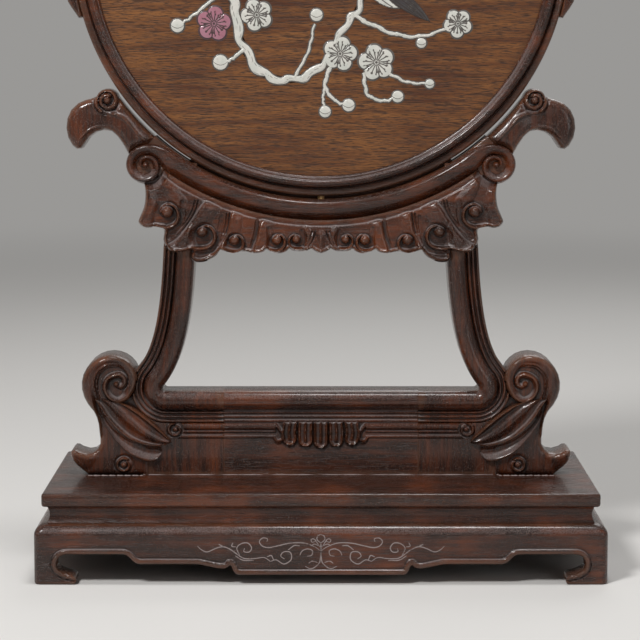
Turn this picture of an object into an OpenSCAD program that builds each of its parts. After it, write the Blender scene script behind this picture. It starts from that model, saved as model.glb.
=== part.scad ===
// A round table screen: an inlaid disc in a moulded ring, held in a carved cradle
// on two curved posts above a waisted base. Front is -Y, up is +Z, and the origin
// is on the table under the middle of the base. Sizes are in millimetres.

/* [Base] */
// Width over the apron boards
base_w = 262; // [250:1:290]
// Depth over the apron boards
base_d = 121; // [112:1:150]
// Height of the apron boards with their feet
apron_h = 27.6; // [25:0.1:34]
// Thickness of the apron boards
apron_t = 12; // [10:0.5:14]
// Radius of the rounded shoulder along the apron's top
shoulder_r = 5.4; // [3:0.1:5.6]
// Length of a hoof foot along the ground
foot_l = 19.4; // [17:0.1:23]
// Width of a foot at the ankle
ankle_w = 10.3; // [8:0.1:12]
// Height of the apron's edge beside the feet
arch_z = 16; // [14.5:0.1:18]
// Height of the apron's edge along its middle stretch
step_z = 12; // [10.5:0.1:13.5]
// Height of the apron's edge along its centre
drop_z = 6.4; // [5:0.1:8]
// Half length of the centre stretch of the front edge
drop_half = 37; // [30:0.5:42]
// Half length of the stepped stretch of the front edge
step_half = 82.4; // [70:0.5:90]
// Half length of the stepped stretch of the side edge
side_step_half = 24; // [16:0.5:28]
// Width of the raised bead along the apron's edge
edge_bead_w = 2.3; // [1.5:0.1:2.8]
// Height of that bead
edge_bead_h = 0.7; // [0.4:0.1:1.2]
// Height of the waist
waist_h = 7.6; // [5:0.1:12]
// Set-back of the waist from the apron's face
waist_inset = 5.8; // [5.7:0.1:7]
// Thickness of the waist strips
waist_t = 9; // [7:0.5:12]
// Depth of the waist's cove
cove_depth = 1.2; // [0.5:0.1:2]
// Thickness of the top board
slab_t = 6.2; // [5:0.1:9]
// Set-back of the top board from the apron's face
slab_inset = 3.4; // [2:0.1:5]
// Leg length of the corner blocks
block_l = 16; // [10:0.5:20]

/* [Stand] */
// Thickness over the round members of posts and rail
stand_t = 25; // [22:0.5:28]
// Thickness of the lower board
board_t = 18; // [15:0.5:20]
// Height of the lower board with its rail
board_h = 40.2; // [38:0.1:46]
// Half length of the middle rail between its joints
rail_half = 46.2; // [40:0.5:52]
// Width of the round member
roll_w = 9; // [8:0.1:11]
// Width of each fine line beside it
line_w = 2.6; // [2:0.1:3]
// Half width of the window at its lower corners
window_low = 73.4; // [69:0.1:76]
// Half width of the window at the top of the posts
window_top = 58.2; // [55:0.1:60]
// Where the brackets meet the boards, from the middle
bracket_joint = 84.5; // [83:0.5:87]
// Thickness of the scroll brackets
bracket_t = 24; // [20:0.5:26]
// Radius of the bracket's volute
volute_r = 16; // [14:0.1:17]
// Length of the tenons of the rail
rail_tenon = 10; // [6:0.5:14]
// Thickness of the stand's tenons
tenon_t = 8; // [6:0.5:10]
// Diameter of the bracket dowels
bracket_dowel_d = 5; // [3:0.5:6]

/* [Cradle] */
// Height of the disc's centre above the table
disc_z = 289.4; // [286:0.2:296]
// Outer radius of the ring
ring_r = 115.6; // [112:0.2:118]
// Gap between ring and cradle
ring_gap = 1.3; // [0.8:0.1:2]
// Radial height of the cradle's rail
cradle_h = 9.6; // [8:0.1:12]
// Thickness of the cradle's rail
cradle_t = 24; // [20:0.5:26]
// Half angle of the cradle's rail
cradle_angle = 41; // [40.6:0.1:42]
// Radius of the volutes at its ends
cradle_volute_r = 9; // [8:0.1:9.4]
// Thickness of the wings
wing_t = 19; // [15:0.5:22]
// Rounding of the wings' edges
wing_round = 1.6; // [1:0.1:1.8]
// Diameter of the wing dowels
wing_dowel_d = 4; // [3:0.5:5]
// Half angle of the carved apron
leaf_angle = 35.6; // [33:0.1:36]
// Thickness of the carved apron under its relief
leaf_t = 6.5; // [5:0.1:8]
// Height of the carved apron's relief
relief_h = 4.2; // [2:0.1:5]

/* [Screen] */
// Width of the ring, seen from the front
ring_w = 9.6; // [8.6:0.1:12]
// Thickness of the ring
ring_t = 19; // [16:0.5:22]
// Thickness of the panel
panel_t = 6; // [5:0.1:7]
// Depth of the panel's face behind the ring's crown
panel_set = 5.4; // [4:0.1:7]
// Depth of the groove that holds the panel
panel_lap = 3.4; // [2:0.1:4.5]
// Height of the tongue under the ring
tongue_h = 2.8; // [2:0.1:4]
// Thickness of that tongue
tongue_t = 7; // [5:0.1:9]
// Distance of the tongue's middle behind the ring's middle
tongue_back = 3; // [2.6:0.1:4]
// Half angle of that tongue
tongue_angle = 32; // [20:1:36]
// Diameter of the locating peg
peg_d = 3.2; // [2:0.1:4]
// Radial width of the ears
ear_w = 7; // [5:0.1:9]
// Half angle of the ears
ear_angle = 16; // [12:0.5:20]
// Thickness of the ears
ear_t = 12; // [8:0.5:14]
// Thickness of the shell inlay
shell_t = 1.5; // [1:0.1:2.5]
// How far the inlay stands above the panel
shell_proud = 0.25; // [0.1:0.05:0.5]

/* [Fits] */
// Clearance between glued pieces
glue_gap = 0.06; // [0.03:0.01:0.1]
// Clearance between the screen and its cradle
lift_gap = 0.35; // [0.3:0.05:0.6]
// Clearance round the inlay
inlay_gap = 0.08; // [0.05:0.01:0.12]

/* [Hidden] */
$fn = 96;
wood = "#4a2a1c";
wood_light = "#8a5a35";
shell = "#e9e4d6";
base_h = apron_h + waist_h + slab_t;
rail_z = base_h + board_h;
line_gap = 0.4;
mould_w = roll_w + 2 * (line_gap + line_w);
back_round = 1.5;
roll_h = 4.6;
stand_f = stand_t / 2;
board_f = board_t / 2;
line_f = board_f + 1.2;
field_f = board_f - 0.3;
lap_f = line_f + glue_gap;
corner_r = 1.5;
post_lean = 40;
cradle_r = ring_r + ring_gap;
cradle_out = cradle_r + cradle_h;
volute_a = 39.2;
volute_d = cradle_out + 3.5;
volute_c = at_angle(volute_a, volute_d);
rebate_z = disc_z - cradle_out - 12;
leaf_back = -6;
leaf_front = leaf_back - leaf_t;
curl_f = leaf_front - relief_h * 0.75;
pleat_angle = 6.4;
sight_r = ring_r - ring_w;
panel_r = sight_r + panel_lap;
panel_f = ring_t / 2 - panel_set;
peg_f = 3;

// Curves and paths in the plane of the front view, as [x, z]
function at_angle(a, r) = [r * sin(a), disc_z - r * cos(a)];
function unit(v) = v / norm(v);
function flip(path) = [for (i = [len(path) - 1:-1:0]) path[i]];
function mirrored(path) = [for (p = flip(path)) [-p[0], p[1]]];
function arc(c, r, a0, a1, n) = [for (i = [0:n]) let (a = a0 + (a1 - a0) * i / n) c + r * [cos(a), sin(a)]];
function bez(a, b, c, d, n = 6) = [for (i = [0:n]) let (t = i / n, s = 1 - t)
    s * s * s * a + 3 * s * s * t * b + 3 * s * t * t * c + t * t * t * d];
function tangent(p, i) = unit(p[min(i + 1, len(p) - 1)] - p[max(i - 1, 0)]);
function left_of(v) = [-v[1], v[0]];
function beside(path, d) = [for (i = [0:len(path) - 1]) path[i] + d * left_of(tangent(path, i))];
function closed_beside(p, d) = [for (i = [0:len(p) - 1]) let (n = len(p),
    a = left_of(unit(p[i] - p[(i + n - 1) % n])), b = left_of(unit(p[(i + 1) % n] - p[i])),
    m = unit(a + b)) p[i] + d * m / max(0.5, m * a)];
function tail(path) = [for (i = [1:len(path) - 1]) path[i]];
// A curve through given points, with three steps from each to the next
function smooth(p) = concat([for (i = [0:len(p) - 2], k = [0:2]) let (t = k / 3,
    a = p[max(i - 1, 0)], b = p[i], c = p[i + 1], d = p[min(i + 2, len(p) - 1)])
    ((2 * b) + (c - a) * t + (2 * a - 5 * b + 4 * c - d) * t * t + (3 * b - a - 3 * c + d) * t * t * t) / 2],
    [p[len(p) - 1]]);
// A spiral that winds in from radius r0 to r1
function spiral(c, r0, r1, a0, turns, n) = [for (i = [0:n]) let (t = i / n, a = a0 + 360 * turns * t)
    c + (r0 + (r1 - r0) * pow(t, 0.8)) * [cos(a), sin(a)]];

// A plate with the outline given in the front view, between two depths
module plate(outline, y0, y1) {
    translate([0, y1, 0]) rotate([90, 0, 0]) linear_extrude(y1 - y0) polygon(outline);
}
// A solid through rings of points, closed at both ends
module loft(rings) {
    n = len(rings[0]);
    m = len(rings);
    points = [for (r = rings) each r];
    walls = [for (j = [0:m - 2], i = [0:n - 1]) let (k = (i + 1) % n, a = j * n, b = a + n)
        each [[a + i, a + k, b + k], [a + i, b + k, b + i]]];
    polyhedron(points, concat(walls, [[for (i = [n - 1:-1:0]) i], [for (i = [0:n - 1]) (m - 1) * n + i]]), 4);
}
// A rounded ridge along a path on a face at depth y, tapering from width w0 to w1
module ridge(path, w0, w1, h0, h1, y, sink = 0.6) {
    n = len(path) - 1;
    loft([for (i = [0:n]) let (t = i / n, w = (w0 + (w1 - w0) * t) / 2, h = h0 + (h1 - h0) * t,
        s = left_of(tangent(path, i)))
        [for (q = [[-1, -sink], [-0.75, h * 0.62], [0, h], [0.75, h * 0.62], [1, -sink]])
            let (p = path[i] + s * q[0] * w) [p[0], y - q[1], p[1]]]]);
}
// A plate with rounded edges all round, drawn counter-clockwise
module soft_plate(outline, t, r) {
    levels = [for (a = [0, 30, 60, 90]) [r * (1 - sin(a)), r * (1 - cos(a))]];
    rings = concat([for (q = levels) [q[0], -t / 2 + q[1]]], [for (q = flip(levels)) [q[0], t / 2 - q[1]]]);
    loft([for (q = rings) [for (p = closed_beside(outline, q[0])) [p[0], q[1], p[1]]]]);
}
// A ring-shaped solid about the disc's centre from a section [radius, depth to the front]
module turned(section, a0, a1) {
    translate([0, 0, disc_z]) rotate([90, 0, 0]) rotate([0, 0, a0])
        rotate_extrude(angle = a1 - a0, $fn = 180) polygon(section);
}
module dowel_y(c, y0, y1, d) {
    translate([c[0], y1, c[1]]) rotate([90, 0, 0]) cylinder(d = d, h = y1 - y0);
}
module box(x0, x1, y0, y1, z0, z1) {
    translate([x0, y0, z0]) cube([x1 - x0, y1 - y0, z1 - z0]);
}

// Base

// Lower edge of an apron board, from its middle out to the toe of the foot
function front_edge(half) = concat(
    [[0, drop_z]],
    bez([drop_half, drop_z], [drop_half + 3, drop_z], [drop_half + 2.6, step_z - 3],
        [drop_half + 4.4, step_z], 5),
    tail(bez([drop_half + 4.4, step_z], [drop_half + 6, step_z - 3.6], [drop_half + 11, step_z - 1.6],
        [drop_half + 19, step_z], 6)),
    step_up(step_half),
    hoof(half));
function side_edge(half) = concat([[0, step_z]], step_up(side_step_half), hoof(half));
function step_up(x) = bez([x, step_z], [x + 4, step_z], [x + 4.4, arch_z], [x + 8.4, arch_z], 6);
function hoof(half) = let (a = half - ankle_w, toe = half - foot_l) concat(
    bez([a - 6, arch_z], [a - 2, arch_z], [a, arch_z - 1.6], [a, arch_z - 5], 5),
    tail(bez([a, arch_z - 5], [a, 6.4], [toe + 6, 5.2], [toe + 1.6, 4.3], 6)));
function toe(half) = let (x = half - foot_l)
    tail(bez([x + 1.6, 4.3], [x - 0.7, 3.6], [x - 0.6, 0], [x + 2.4, 0], 5));

module apron_board(w, d, edge) {
    right = concat(edge, toe(w / 2), [[w / 2, 0], [w / 2, apron_h]]);
    bead = concat(edge, flip(beside(edge, edge_bead_w)));
    face = -d / 2;
    out = [w / 2 + edge_bead_h, face - edge_bead_h];
    in = [w / 2 - apron_t, face + apron_t];
    color(wood) difference() {
        intersection() {
            union() {
                plate(concat(mirrored(tail(right)), right), face, face + apron_t);
                for (s = [0, 1]) mirror([s, 0, 0]) plate(bead, face - edge_bead_h, face + 1);
            }
            linear_extrude(apron_h) polygon([[-out[0], out[1]], out, in, [-in[0], in[1]]]);
        }
        translate([-w / 2, face, apron_h]) rotate([0, 90, 0]) difference() {
            translate([-1, -1, -1]) cube([shoulder_r + 1, shoulder_r + 1, w + 2]);
            translate([shoulder_r, shoulder_r, -2]) cylinder(r = shoulder_r, h = w + 4);
        }
    }
}
module base_apron_front() { apron_board(base_w, base_d, front_edge(base_w / 2)); }
module base_apron_back() { rotate(180) apron_board(base_w, base_d, front_edge(base_w / 2)); }
module base_apron_right() { rotate(90) apron_board(base_d, base_w, side_edge(base_d / 2)); }
module base_apron_left() { rotate(-90) apron_board(base_d, base_w, side_edge(base_d / 2)); }

module waist_strip(w, d) {
    out = [w / 2 - waist_inset, -d / 2 + waist_inset];
    in = out + [-waist_t, waist_t];
    cove_r = (waist_h * waist_h / 4 + cove_depth * cove_depth) / (2 * cove_depth);
    color(wood) difference() {
        translate([0, 0, apron_h]) linear_extrude(waist_h)
            polygon([[-out[0], out[1]], out, in, [-in[0], in[1]]]);
        translate([-w / 2, out[1] + cove_depth - cove_r, apron_h + waist_h / 2]) rotate([0, 90, 0])
            cylinder(r = cove_r, h = w);
    }
}
module base_waist_front() { waist_strip(base_w, base_d); }
module base_waist_back() { rotate(180) waist_strip(base_w, base_d); }
module base_waist_right() { rotate(90) waist_strip(base_d, base_w); }
module base_waist_left() { rotate(-90) waist_strip(base_d, base_w); }

module corner_blocks() {
    x = base_w / 2 - apron_t - glue_gap;
    y = base_d / 2 - apron_t - glue_gap;
    color(wood_light) for (sx = [0, 1], sy = [0, 1]) mirror([sx, 0, 0]) mirror([0, sy, 0])
        translate([0, 0, arch_z + 1]) linear_extrude(apron_h - arch_z - 1)
            polygon([[x, y], [x - block_l, y], [x, y - block_l]]);
}

// Places of the tenons under the stand, as [x0, x1]
post_foot = [rail_half + 8, bracket_joint - 6];
bracket_foot = [bracket_joint + 4, bracket_joint + 16];
module foot_tenon(span, grow) {
    y = tenon_t / 2 + grow;
    box(span[0] - grow, span[1] + grow, -y, y, apron_h + waist_h, base_h + grow);
}
module base_top_board() {
    x = base_w / 2 - slab_inset;
    y = base_d / 2 - slab_inset;
    r = 1.5;
    corner = arc([x - r, y - r], r, 0, 90, 6);
    half = concat([for (p = flip(corner)) [p[0], -p[1]]], corner);
    color(wood) difference() {
        translate([0, 0, apron_h + waist_h]) linear_extrude(slab_t) polygon(concat(half, mirrored(half)));
        for (s = [0, 1], span = [post_foot, bracket_foot]) mirror([s, 0, 0])
            translate([0, 0, -glue_gap]) foot_tenon(span, glue_gap);
    }
}

// Stand

// Section of the moulding, as [distance from the window, depth to the front]
function roll_section(n) = [for (i = [0:n]) let (a = 180 * i / n)
    [roll_w / 2 * (1 - cos(a)), stand_f - roll_h * (1 - sin(a))]];
function line_section(u) = [[u, board_f], [u + line_w * 0.2, line_f], [u + line_w * 0.8, line_f],
    [u + line_w, board_f]];
function moulding(n) = concat([[mould_w, back_round - board_f], [mould_w - back_round, -board_f],
    [back_round, -board_f], [0, back_round - board_f]], roll_section(n),
    line_section(roll_w + line_gap), line_section(roll_w + 2 * line_gap + line_w));

// Stations [point, outward direction] down the post, round the corner and along the rail
function post_stations() = let (c = [window_low, rail_z + corner_r],
    foot = c + corner_r * [cos(post_lean), sin(post_lean)],
    line = bez([window_top, disc_z - 100], [window_top + 0.3, rail_z + 46],
        foot + 20 * [-sin(post_lean), cos(post_lean)], foot, 12))
    concat([for (i = [0:11]) [line[i], left_of(tangent(line, i))]],
        [for (i = [0:7]) let (a = post_lean - (post_lean + 90) * i / 7, u = [cos(a), sin(a)])
            [c + corner_r * u, u]],
        [[[rail_half - 3, rail_z], [0, -1]]]);

module side_post() {
    s = post_stations();
    z1 = rail_z - mould_w + 1;
    color(wood) difference() {
        union() {
            loft([for (q = s) [for (m = moulding(6)) let (p = q[0] + q[1] * m[0]) [p[0], -m[1], p[1]]]]);
            box(rail_half - 1, bracket_joint + 1, -field_f, field_f, base_h, z1);
            band(rail_half - 2, curl_x);
            dowel_y([curl_x, band_z - band_w + 0.4], -line_f, 0, 5.6);
            foot_tenon(post_foot, 0);
        }
        box(0, rail_half, -20, 20, 0, disc_z);
        plate(closed_beside(bracket_outline(), -glue_gap), -30, 30);
        box(bracket_joint, base_w, -20, 20, base_h - slab_t - 1, base_h + 5);
        translate([0, 0, disc_z]) rotate([90, 0, 0])
            cylinder(r = cradle_out + glue_gap, h = 60, center = true, $fn = 180);
        box(window_top - 4, window_top + 24, -30, leaf_back + glue_gap, rebate_z, disc_z);
        rail_tenon_box(glue_gap);
        bracket_dowel_pair(glue_gap);
    }
    color(wood) post_tenon(0);
}
// The raised band below the lines, from x0 to x1
module band(x0, x1) {
    box(x0, x1, -line_f + 0.1, -board_f + 1.3, band_z - band_w, band_z);
}
post_mid = window_top + mould_w / 2;
curl_x = bracket_joint - 15.7;
band_z = rail_z - mould_w - 0.6;
band_w = 3.4;
clasp_half = 21;
module post_tenon(grow) {
    z = disc_z - sqrt(pow(cradle_out, 2) - pow(post_mid, 2));
    intersection() {
        box(post_mid - 4 - grow, post_mid + 4 + grow, -1 - grow, 7 + grow, z - 12, z + 4.5 + grow);
        box(0, 200, -20, 20, z - 9, z + 30);
    }
}
module rail_tenon_box(grow) {
    box(rail_half - 0.5, rail_half + rail_tenon + grow, -tenon_t / 2 - grow, tenon_t / 2 + grow,
        base_h + 8 - grow, rail_z - 10 + grow);
}
module lower_rail() {
    stroke_n = 3;
    color(wood) {
        translate([-rail_half, 0, rail_z]) rotate([90, 0, 90]) linear_extrude(2 * rail_half)
            polygon([for (m = flip(moulding(24))) [-m[1], -m[0]]]);
        box(-rail_half, rail_half, -field_f, field_f, base_h, rail_z - mould_w + 1);
        for (s = [0, 1]) mirror([s, 0, 0]) {
            rail_tenon_box(0);
            band(clasp_half, rail_half);
            for (i = [0:stroke_n - 1]) let (x = 3.2 + i * clasp_half / stroke_n, z = band_z)
                ridge(bez([x - 1.5, z - 11.5 + i], [x + 2.6, z - 9.5], [x + 3.2, z - 2], [x + 0.6 + i, z], 6),
                    2.2, 4.2, 1.6, 2.6, -board_f);
        }
    }
}
module side_post_right() { side_post(); }
module side_post_left() { mirror([1, 0, 0]) side_post(); }

// Scroll brackets

bracket_c = [bracket_joint + 13.6, rail_z + 4];
// Outline from the foot round the hooked toe, up the stem and over the volute
function bracket_outline() = let (c = bracket_c, o = [bracket_joint, base_h],
    neck = o + [20.3, 18], shoulder = c + volute_r * [cos(-40), sin(-40)]) concat(
    [o, o + [26.3, 0]],
    tail(bez(o + [26.3, 0], o + [30, 3], o + [33, 5], o + [34.4, 9.5], 4)),
    tail(bez(o + [34.4, 9.5], o + [34.8, 12.5], o + [32.1, 13], o + [30.1, 11], 4)),
    tail(bez(o + [30.1, 11], o + [24, 8], o + [19.5, 12], neck, 5)),
    tail(bez(neck, neck + [0.6, 6], shoulder - [5.6, 5.6], shoulder, 5)),
    [for (i = [1:18]) let (a = -40 + 250 * i / 18, r = volute_r - 5.2 * i / 18) c + r * [cos(a), sin(a)]],
    [[bracket_joint, c[1] - 10]]);
// A scooped leaf between two edges that run from the stem to the tip
module leaf(upper, lower, h) {
    n = len(upper) - 1;
    loft([for (i = [0:n])
        let (a = upper[i], b = lower[i], k = h * (0.55 + 0.45 * sin(180 * min(1, 1.1 * i / n))))
        [for (q = [[0, 0], [0.03, k * 0.8], [0.16, k], [0.5, k * 0.45], [0.84, k], [0.97, k * 0.8], [1, 0]])
            let (p = a + (b - a) * q[0]) [p[0], -board_f - glue_gap - q[1], p[1]]]]);
}
module bracket_dowel_pair(grow) {
    for (z = [base_h + 9, rail_z - 14]) translate([bracket_joint - 8 - grow, 2, z]) rotate([0, 90, 0])
        cylinder(d = bracket_dowel_d + 2 * grow, h = 16 + 2 * grow);
}
module scroll_bracket() {
    c = bracket_c;
    b = base_h;
    f = -board_f - 2;
    leaf_1 = [bez(c + [9.4, -10.6], c + [-4, -9], c + [-18, -17], c + [-26.9, -29.2], 10),
        bez(c + [7, -13.2], c + [1, -22], c + [-10, -30], c + [-25.4, -30.6], 10)];
    leaf_2 = [bez(c + [6.6, -14.6], c + [0.4, -23], c + [-14, -29.5], c + [-21.4, -34.6], 10),
        bez(c + [5.6, -19.6], c + [-1, -29], c + [-13, -42], c + [-20.8, -36.6], 10)];
    color(wood) difference() {
        union() {
            intersection() {
                plate(bracket_outline(), f, bracket_t / 2);
                box(bracket_joint, base_w, -30, 30, b, disc_z);
            }
            foot_tenon(bracket_foot, 0);
            ridge(spiral(c, volute_r - 2.4, 3, -62, 1.5, 34), 4.4, 2.4, 2.4, 2.6, f);
            dowel_y(c, f - 2.4, 0, 4.4);
            leaf(leaf_1[0], leaf_1[1], 4.6);
            leaf(leaf_2[0], leaf_2[1], 3.4);
            ridge(bez(c + [12.6, -9], c + [6, -20], c + [5, -28], c + [12, -34.6], 8), 3, 2.2, 1.6, 1.6, f);
            dowel_y([bracket_joint + 8.4, b + 5.5], f - 1.6, 0, 7);
            dowel_y([bracket_joint + 8.4, b + 5.5], f - 2.6, 0, 3.6);
        }
        box(0, bracket_joint, -lap_f, 30, rail_z - mould_w - 6.5, disc_z);
        bracket_dowel_pair(glue_gap);
    }
}
module scroll_bracket_right() { scroll_bracket(); }
module scroll_bracket_left() { mirror([1, 0, 0]) scroll_bracket(); }
module bracket_dowels() {
    color(wood_light) for (s = [0, 1]) mirror([s, 0, 0]) bracket_dowel_pair(0);
}

// Cradle

// Rounded section of the arc
function arc_section() = let (f = cradle_t / 2, m = cradle_h / 2) concat(
    [[cradle_r, 2 - f], [cradle_r + 2, -f], [cradle_out - 2, -f], [cradle_out, 2 - f]],
    [for (i = [0:16]) let (a = 180 * i / 16) [cradle_r + m + m * cos(a), f - 4 + 4 * sin(a)]]);
module wing_dowel(s, grow) {
    p = volute_c + [3, 6];
    mirror([s, 0, 0]) translate([p[0], 0, p[1]]) rotate([0, 20, 0])
        translate([0, 0, -grow]) cylinder(d = wing_dowel_d + 2 * grow, h = 10 + 2 * grow);
}
function tongue_section(r0, grow) = let (r1 = ring_r + tongue_h + grow, t = tongue_t / 2 + grow)
    [[r0, -tongue_back - t], [r1, -tongue_back - t], [r1, t - tongue_back], [r0, t - tongue_back]];
module peg(grow) {
    translate([0, -peg_f, disc_z - ring_r - 5 - grow]) cylinder(d = peg_d + 2 * grow, h = 9 + 2 * grow);
}
module cradle_rail() {
    f = -cradle_t / 2 + 3;
    color(wood) difference() {
        union() {
            turned(arc_section(), 270 - cradle_angle, 270 + cradle_angle);
            for (s = [0, 1]) mirror([s, 0, 0]) {
                dowel_y(volute_c, f, cradle_t / 2 - 1, 2 * cradle_volute_r);
                ridge(spiral(volute_c, cradle_volute_r - 2, 1.6, 150, -1.4, 26), 4.2, 2.2, 2.6, 2, f);
                dowel_y(volute_c, f - 2, 0, 3);
            }
        }
        turned(tongue_section(cradle_r - 2, lift_gap), 270 - tongue_angle - 3, 270 + tongue_angle + 3);
        for (s = [0, 1]) {
            mirror([s, 0, 0]) post_tenon(glue_gap);
            wing_dowel(s, glue_gap);
        }
        peg(lift_gap);
    }
}
wing_eye = volute_c + [17.8, 30.2];
wing_eye_r = norm(wing_eye - [0, disc_z]) - cradle_r - 0.1;
// Outline up along the ring, over the small volute and the knob, and back under the hook
function wing_outline() = let (v = volute_c, r = cradle_volute_r + 0.1, a = cradle_angle + 0.4) concat(
    arc([0, disc_z], cradle_r + 0.4, a - 90, -38, 8),
    arc(wing_eye, wing_eye_r, 165, 20, 7),
    tail(bez(wing_eye + wing_eye_r * [cos(20), sin(20)], v + [25, 30.4], v + [28, 31], v + [31.5, 28.8], 3)),
    tail(bez(v + [31.5, 28.8], v + [38.3, 24.8], v + [38.9, 14.4], v + [34.3, 8.8], 5)),
    tail(bez(v + [34.3, 8.8], v + [32.7, 6.4], v + [29.3, 6.8], v + [28.8, 9.4], 3)),
    tail(bez(v + [28.8, 9.4], v + [26.4, 14.9], v + [20.4, 17.4], v + [15.9, 15.6], 4)),
    tail(bez(v + [15.9, 15.6], v + [12.9, 14], v + [10.4, 9.4], v + r * [cos(30), sin(30)], 3)),
    tail(arc(v, r, 30, 90 + volute_a - asin(volute_d * sin(a - volute_a) / r), 6)));
module cradle_wing() {
    color(wood) difference() {
        union() {
            soft_plate(flip(wing_outline()), wing_t, wing_round);
            dowel_y(wing_eye, -wing_t / 2 - 1, 0, 7);
            dowel_y(wing_eye, -wing_t / 2 - 2.2, 0, 3.6);
        }
        wing_dowel(0, glue_gap);
    }
}
module cradle_wing_right() { cradle_wing(); }
module cradle_wing_left() { mirror([1, 0, 0]) cradle_wing(); }
module wing_dowels() { color(wood_light) for (s = [0, 1]) wing_dowel(s, 0); }

// Carved apron: lobes hang below the arc, each as [angle from the middle, half width, drop]
lobes = [[33, 2.7, 3], [26, 3.6, 8.6], [20.6, 3.2, 9.4], [13.6, 4.2, 4.6], [5.6, 4.4, 2], [0, 1.7, 2.6]];
// Curls, each as [angle from the middle, distance below the arc, size]
curls = [[30.3, 15.9, 5.4], [22.6, 16.7, 4.8], [16.2, 14.9, 3.8], [8.6, 10.5, 3.4], [4.8, 9.5, 3]];
function hang(a) = cradle_out + 14.7 + 9 * pow(abs(a) / 30, 1.5)
    + max([for (l = lobes) l[2] * sqrt(max(0, 1 - pow((abs(a) - l[0]) / l[1], 2)))])
    - 12 * pow(max(0, abs(a) - leaf_angle + 1.4) / 1.4, 2);
function pleat(a, t) = relief_h * sin(180 * (0.12 + 0.68 * t))
    * (0.62 + 0.3 * cos(360 * abs(a) / pleat_angle - 200 * t));
module curl(c, size) {
    dowel_y(c, curl_f - 0.6, leaf_back - 2, 1.5 * size);
    translate([c[0], curl_f - 0.8, c[1]]) sphere(r = size * 0.42, $fn = 24);
    ridge(spiral(c, size * 0.86, size * 0.7, 20, 0.85, 12), size * 0.2, size * 0.42, 1, 2.2, curl_f, 2);
}
module carved_apron() {
    n = 96;
    m = 6;
    r0 = cradle_out + glue_gap;
    rows = [for (i = [0:n]) let (a = leaf_angle * (1 - 2 * i / n), r1 = hang(a)) concat(
        [for (r = [r1, r0]) let (p = at_angle(a, r)) [p[0], leaf_back, p[1]]],
        [for (j = [0:m]) let (t = j / m, p = at_angle(a, r0 + (r1 - r0) * t))
            [p[0], leaf_front - pleat(a, t), p[1]]])];
    color(wood) difference() {
        union() {
            loft(rows);
            for (s = [0, 1], k = curls) mirror([s, 0, 0]) curl(at_angle(k[0], cradle_out + k[1]), k[2]);
        }
        for (s = [0, 1]) mirror([s, 0, 0]) {
            box(window_top - 4, window_top + 24, -stand_f - glue_gap, 0, rail_z, rebate_z + glue_gap);
            dowel_y(volute_c, -30, 30, 2 * (cradle_volute_r + glue_gap));
        }
    }
}

// Screen

crown_r = 2.3;
// Section of the ring, as [radius, depth to the front]
function ring_section() = let (f = ring_t / 2, s = sight_r, g = panel_f) concat(
    [[s - 1.5, -f], [ring_r - 1.5, -f], [ring_r, 1.5 - f], [ring_r, f - 4], [ring_r - 0.6, f - 3.4],
    [s + 6.1, f - 3.4]],
    [for (i = [0:10]) let (a = 16 * i) [s + 3.4 + crown_r * cos(a), f - crown_r * (1 - sin(a))]],
    [[s + 0.4, f - 3.6], [s, g + 0.6], [s, g], [panel_r + glue_gap, g],
    [panel_r + glue_gap, g - panel_t - glue_gap], [s - 1.5, g - panel_t - glue_gap]]);
module ring_key(s, grow) {
    mirror([s, 0, 0]) box(ring_r - 4.4 - grow, ring_r - 1.6 + grow, -6 - grow, 1 + grow,
        disc_z - 9 - grow, disc_z + 9 + grow);
}
module ring_half(a0, a1) {
    difference() {
        turned(ring_section(), a0, a1);
        for (s = [0, 1]) ring_key(s, glue_gap);
    }
}
module ring_lower() {
    color(wood) difference() {
        union() {
            ring_half(180, 360);
            turned(tongue_section(ring_r - 1, 0), 270 - tongue_angle, 270 + tongue_angle);
        }
        peg(glue_gap);
    }
}
module ring_upper() { color(wood) ring_half(0, 180); }
module ring_keys() { color(wood_light) for (s = [0, 1]) ring_key(s, 0); }
module locating_peg() { color("#b89a68") peg(0); }

function ear_outline() = let (r0 = ring_r + glue_gap, r1 = ring_r + ear_w) concat(
    flip(arc([0, disc_z], r0, -ear_angle, ear_angle, 12)),
    [for (i = [0:24]) let (t = i / 12 - 1, a = t * ear_angle)
        [0, disc_z] + (r0 + 1.2 + (r1 - r0 - 1.2) * pow(cos(90 * t * 0.96), 0.7) * (1 - 0.16 * cos(720 * t)))
        * [cos(a), sin(a)]]);
module ear() {
    color(wood) {
        plate(ear_outline(), -ear_t / 2, ear_t / 2);
        for (s = [-1, 1]) let (a = s * ear_angle * 0.7, c = [0, disc_z] + (ring_r + 2.6) * [cos(a), sin(a)])
            ridge(spiral(c, 1.6, 0.5, 90 - s * 90, s * 1.1, 14), 1.1, 0.8, 1, 0.9, -ear_t / 2);
        for (k = [-2:2]) let (a = k * ear_angle * 0.17)
            ridge([for (i = [0:5]) let (r = ring_r + 1.4 + i * (ear_w * 0.78 - 1.4) / 5)
                [0, disc_z] + r * [cos(a), sin(a)]], 1.5, 1.1, 0.9, 0.7, -ear_t / 2);
    }
}
module ear_right() { ear(); }
module ear_left() { mirror([1, 0, 0]) ear(); }

// Shell inlay, drawn on the panel about the disc's centre

// Radius of the panel that the inlay is laid out for
inlay_r = 106;
// Blossoms, each as [x, z, radius, turn]; the pink one comes first
blossoms = [[-50, -35, 8.2, 10], [-30, -31, 7.6, 40], [9, -49, 8.2, 5], [26, -53, 8.6, 30], [64, -35, 6.8, 50],
    [34, 16, 8.2, 12], [-46, 18, 7.8, 22], [8, 38, 8, 66]];
// Buds, each as [x, z, radius]
buds = [[-2, -31, 3], [-47, -53, 3.6], [-67, -36, 3.2], [2, -76, 2.8], [13, -73, 3], [36, -69, 2.8], [51, -63, 2.2],
    [47, -44, 2.4], [-62, 36, 2.7], [30, 50, 2.8], [53, 30, 2.5]];
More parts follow.
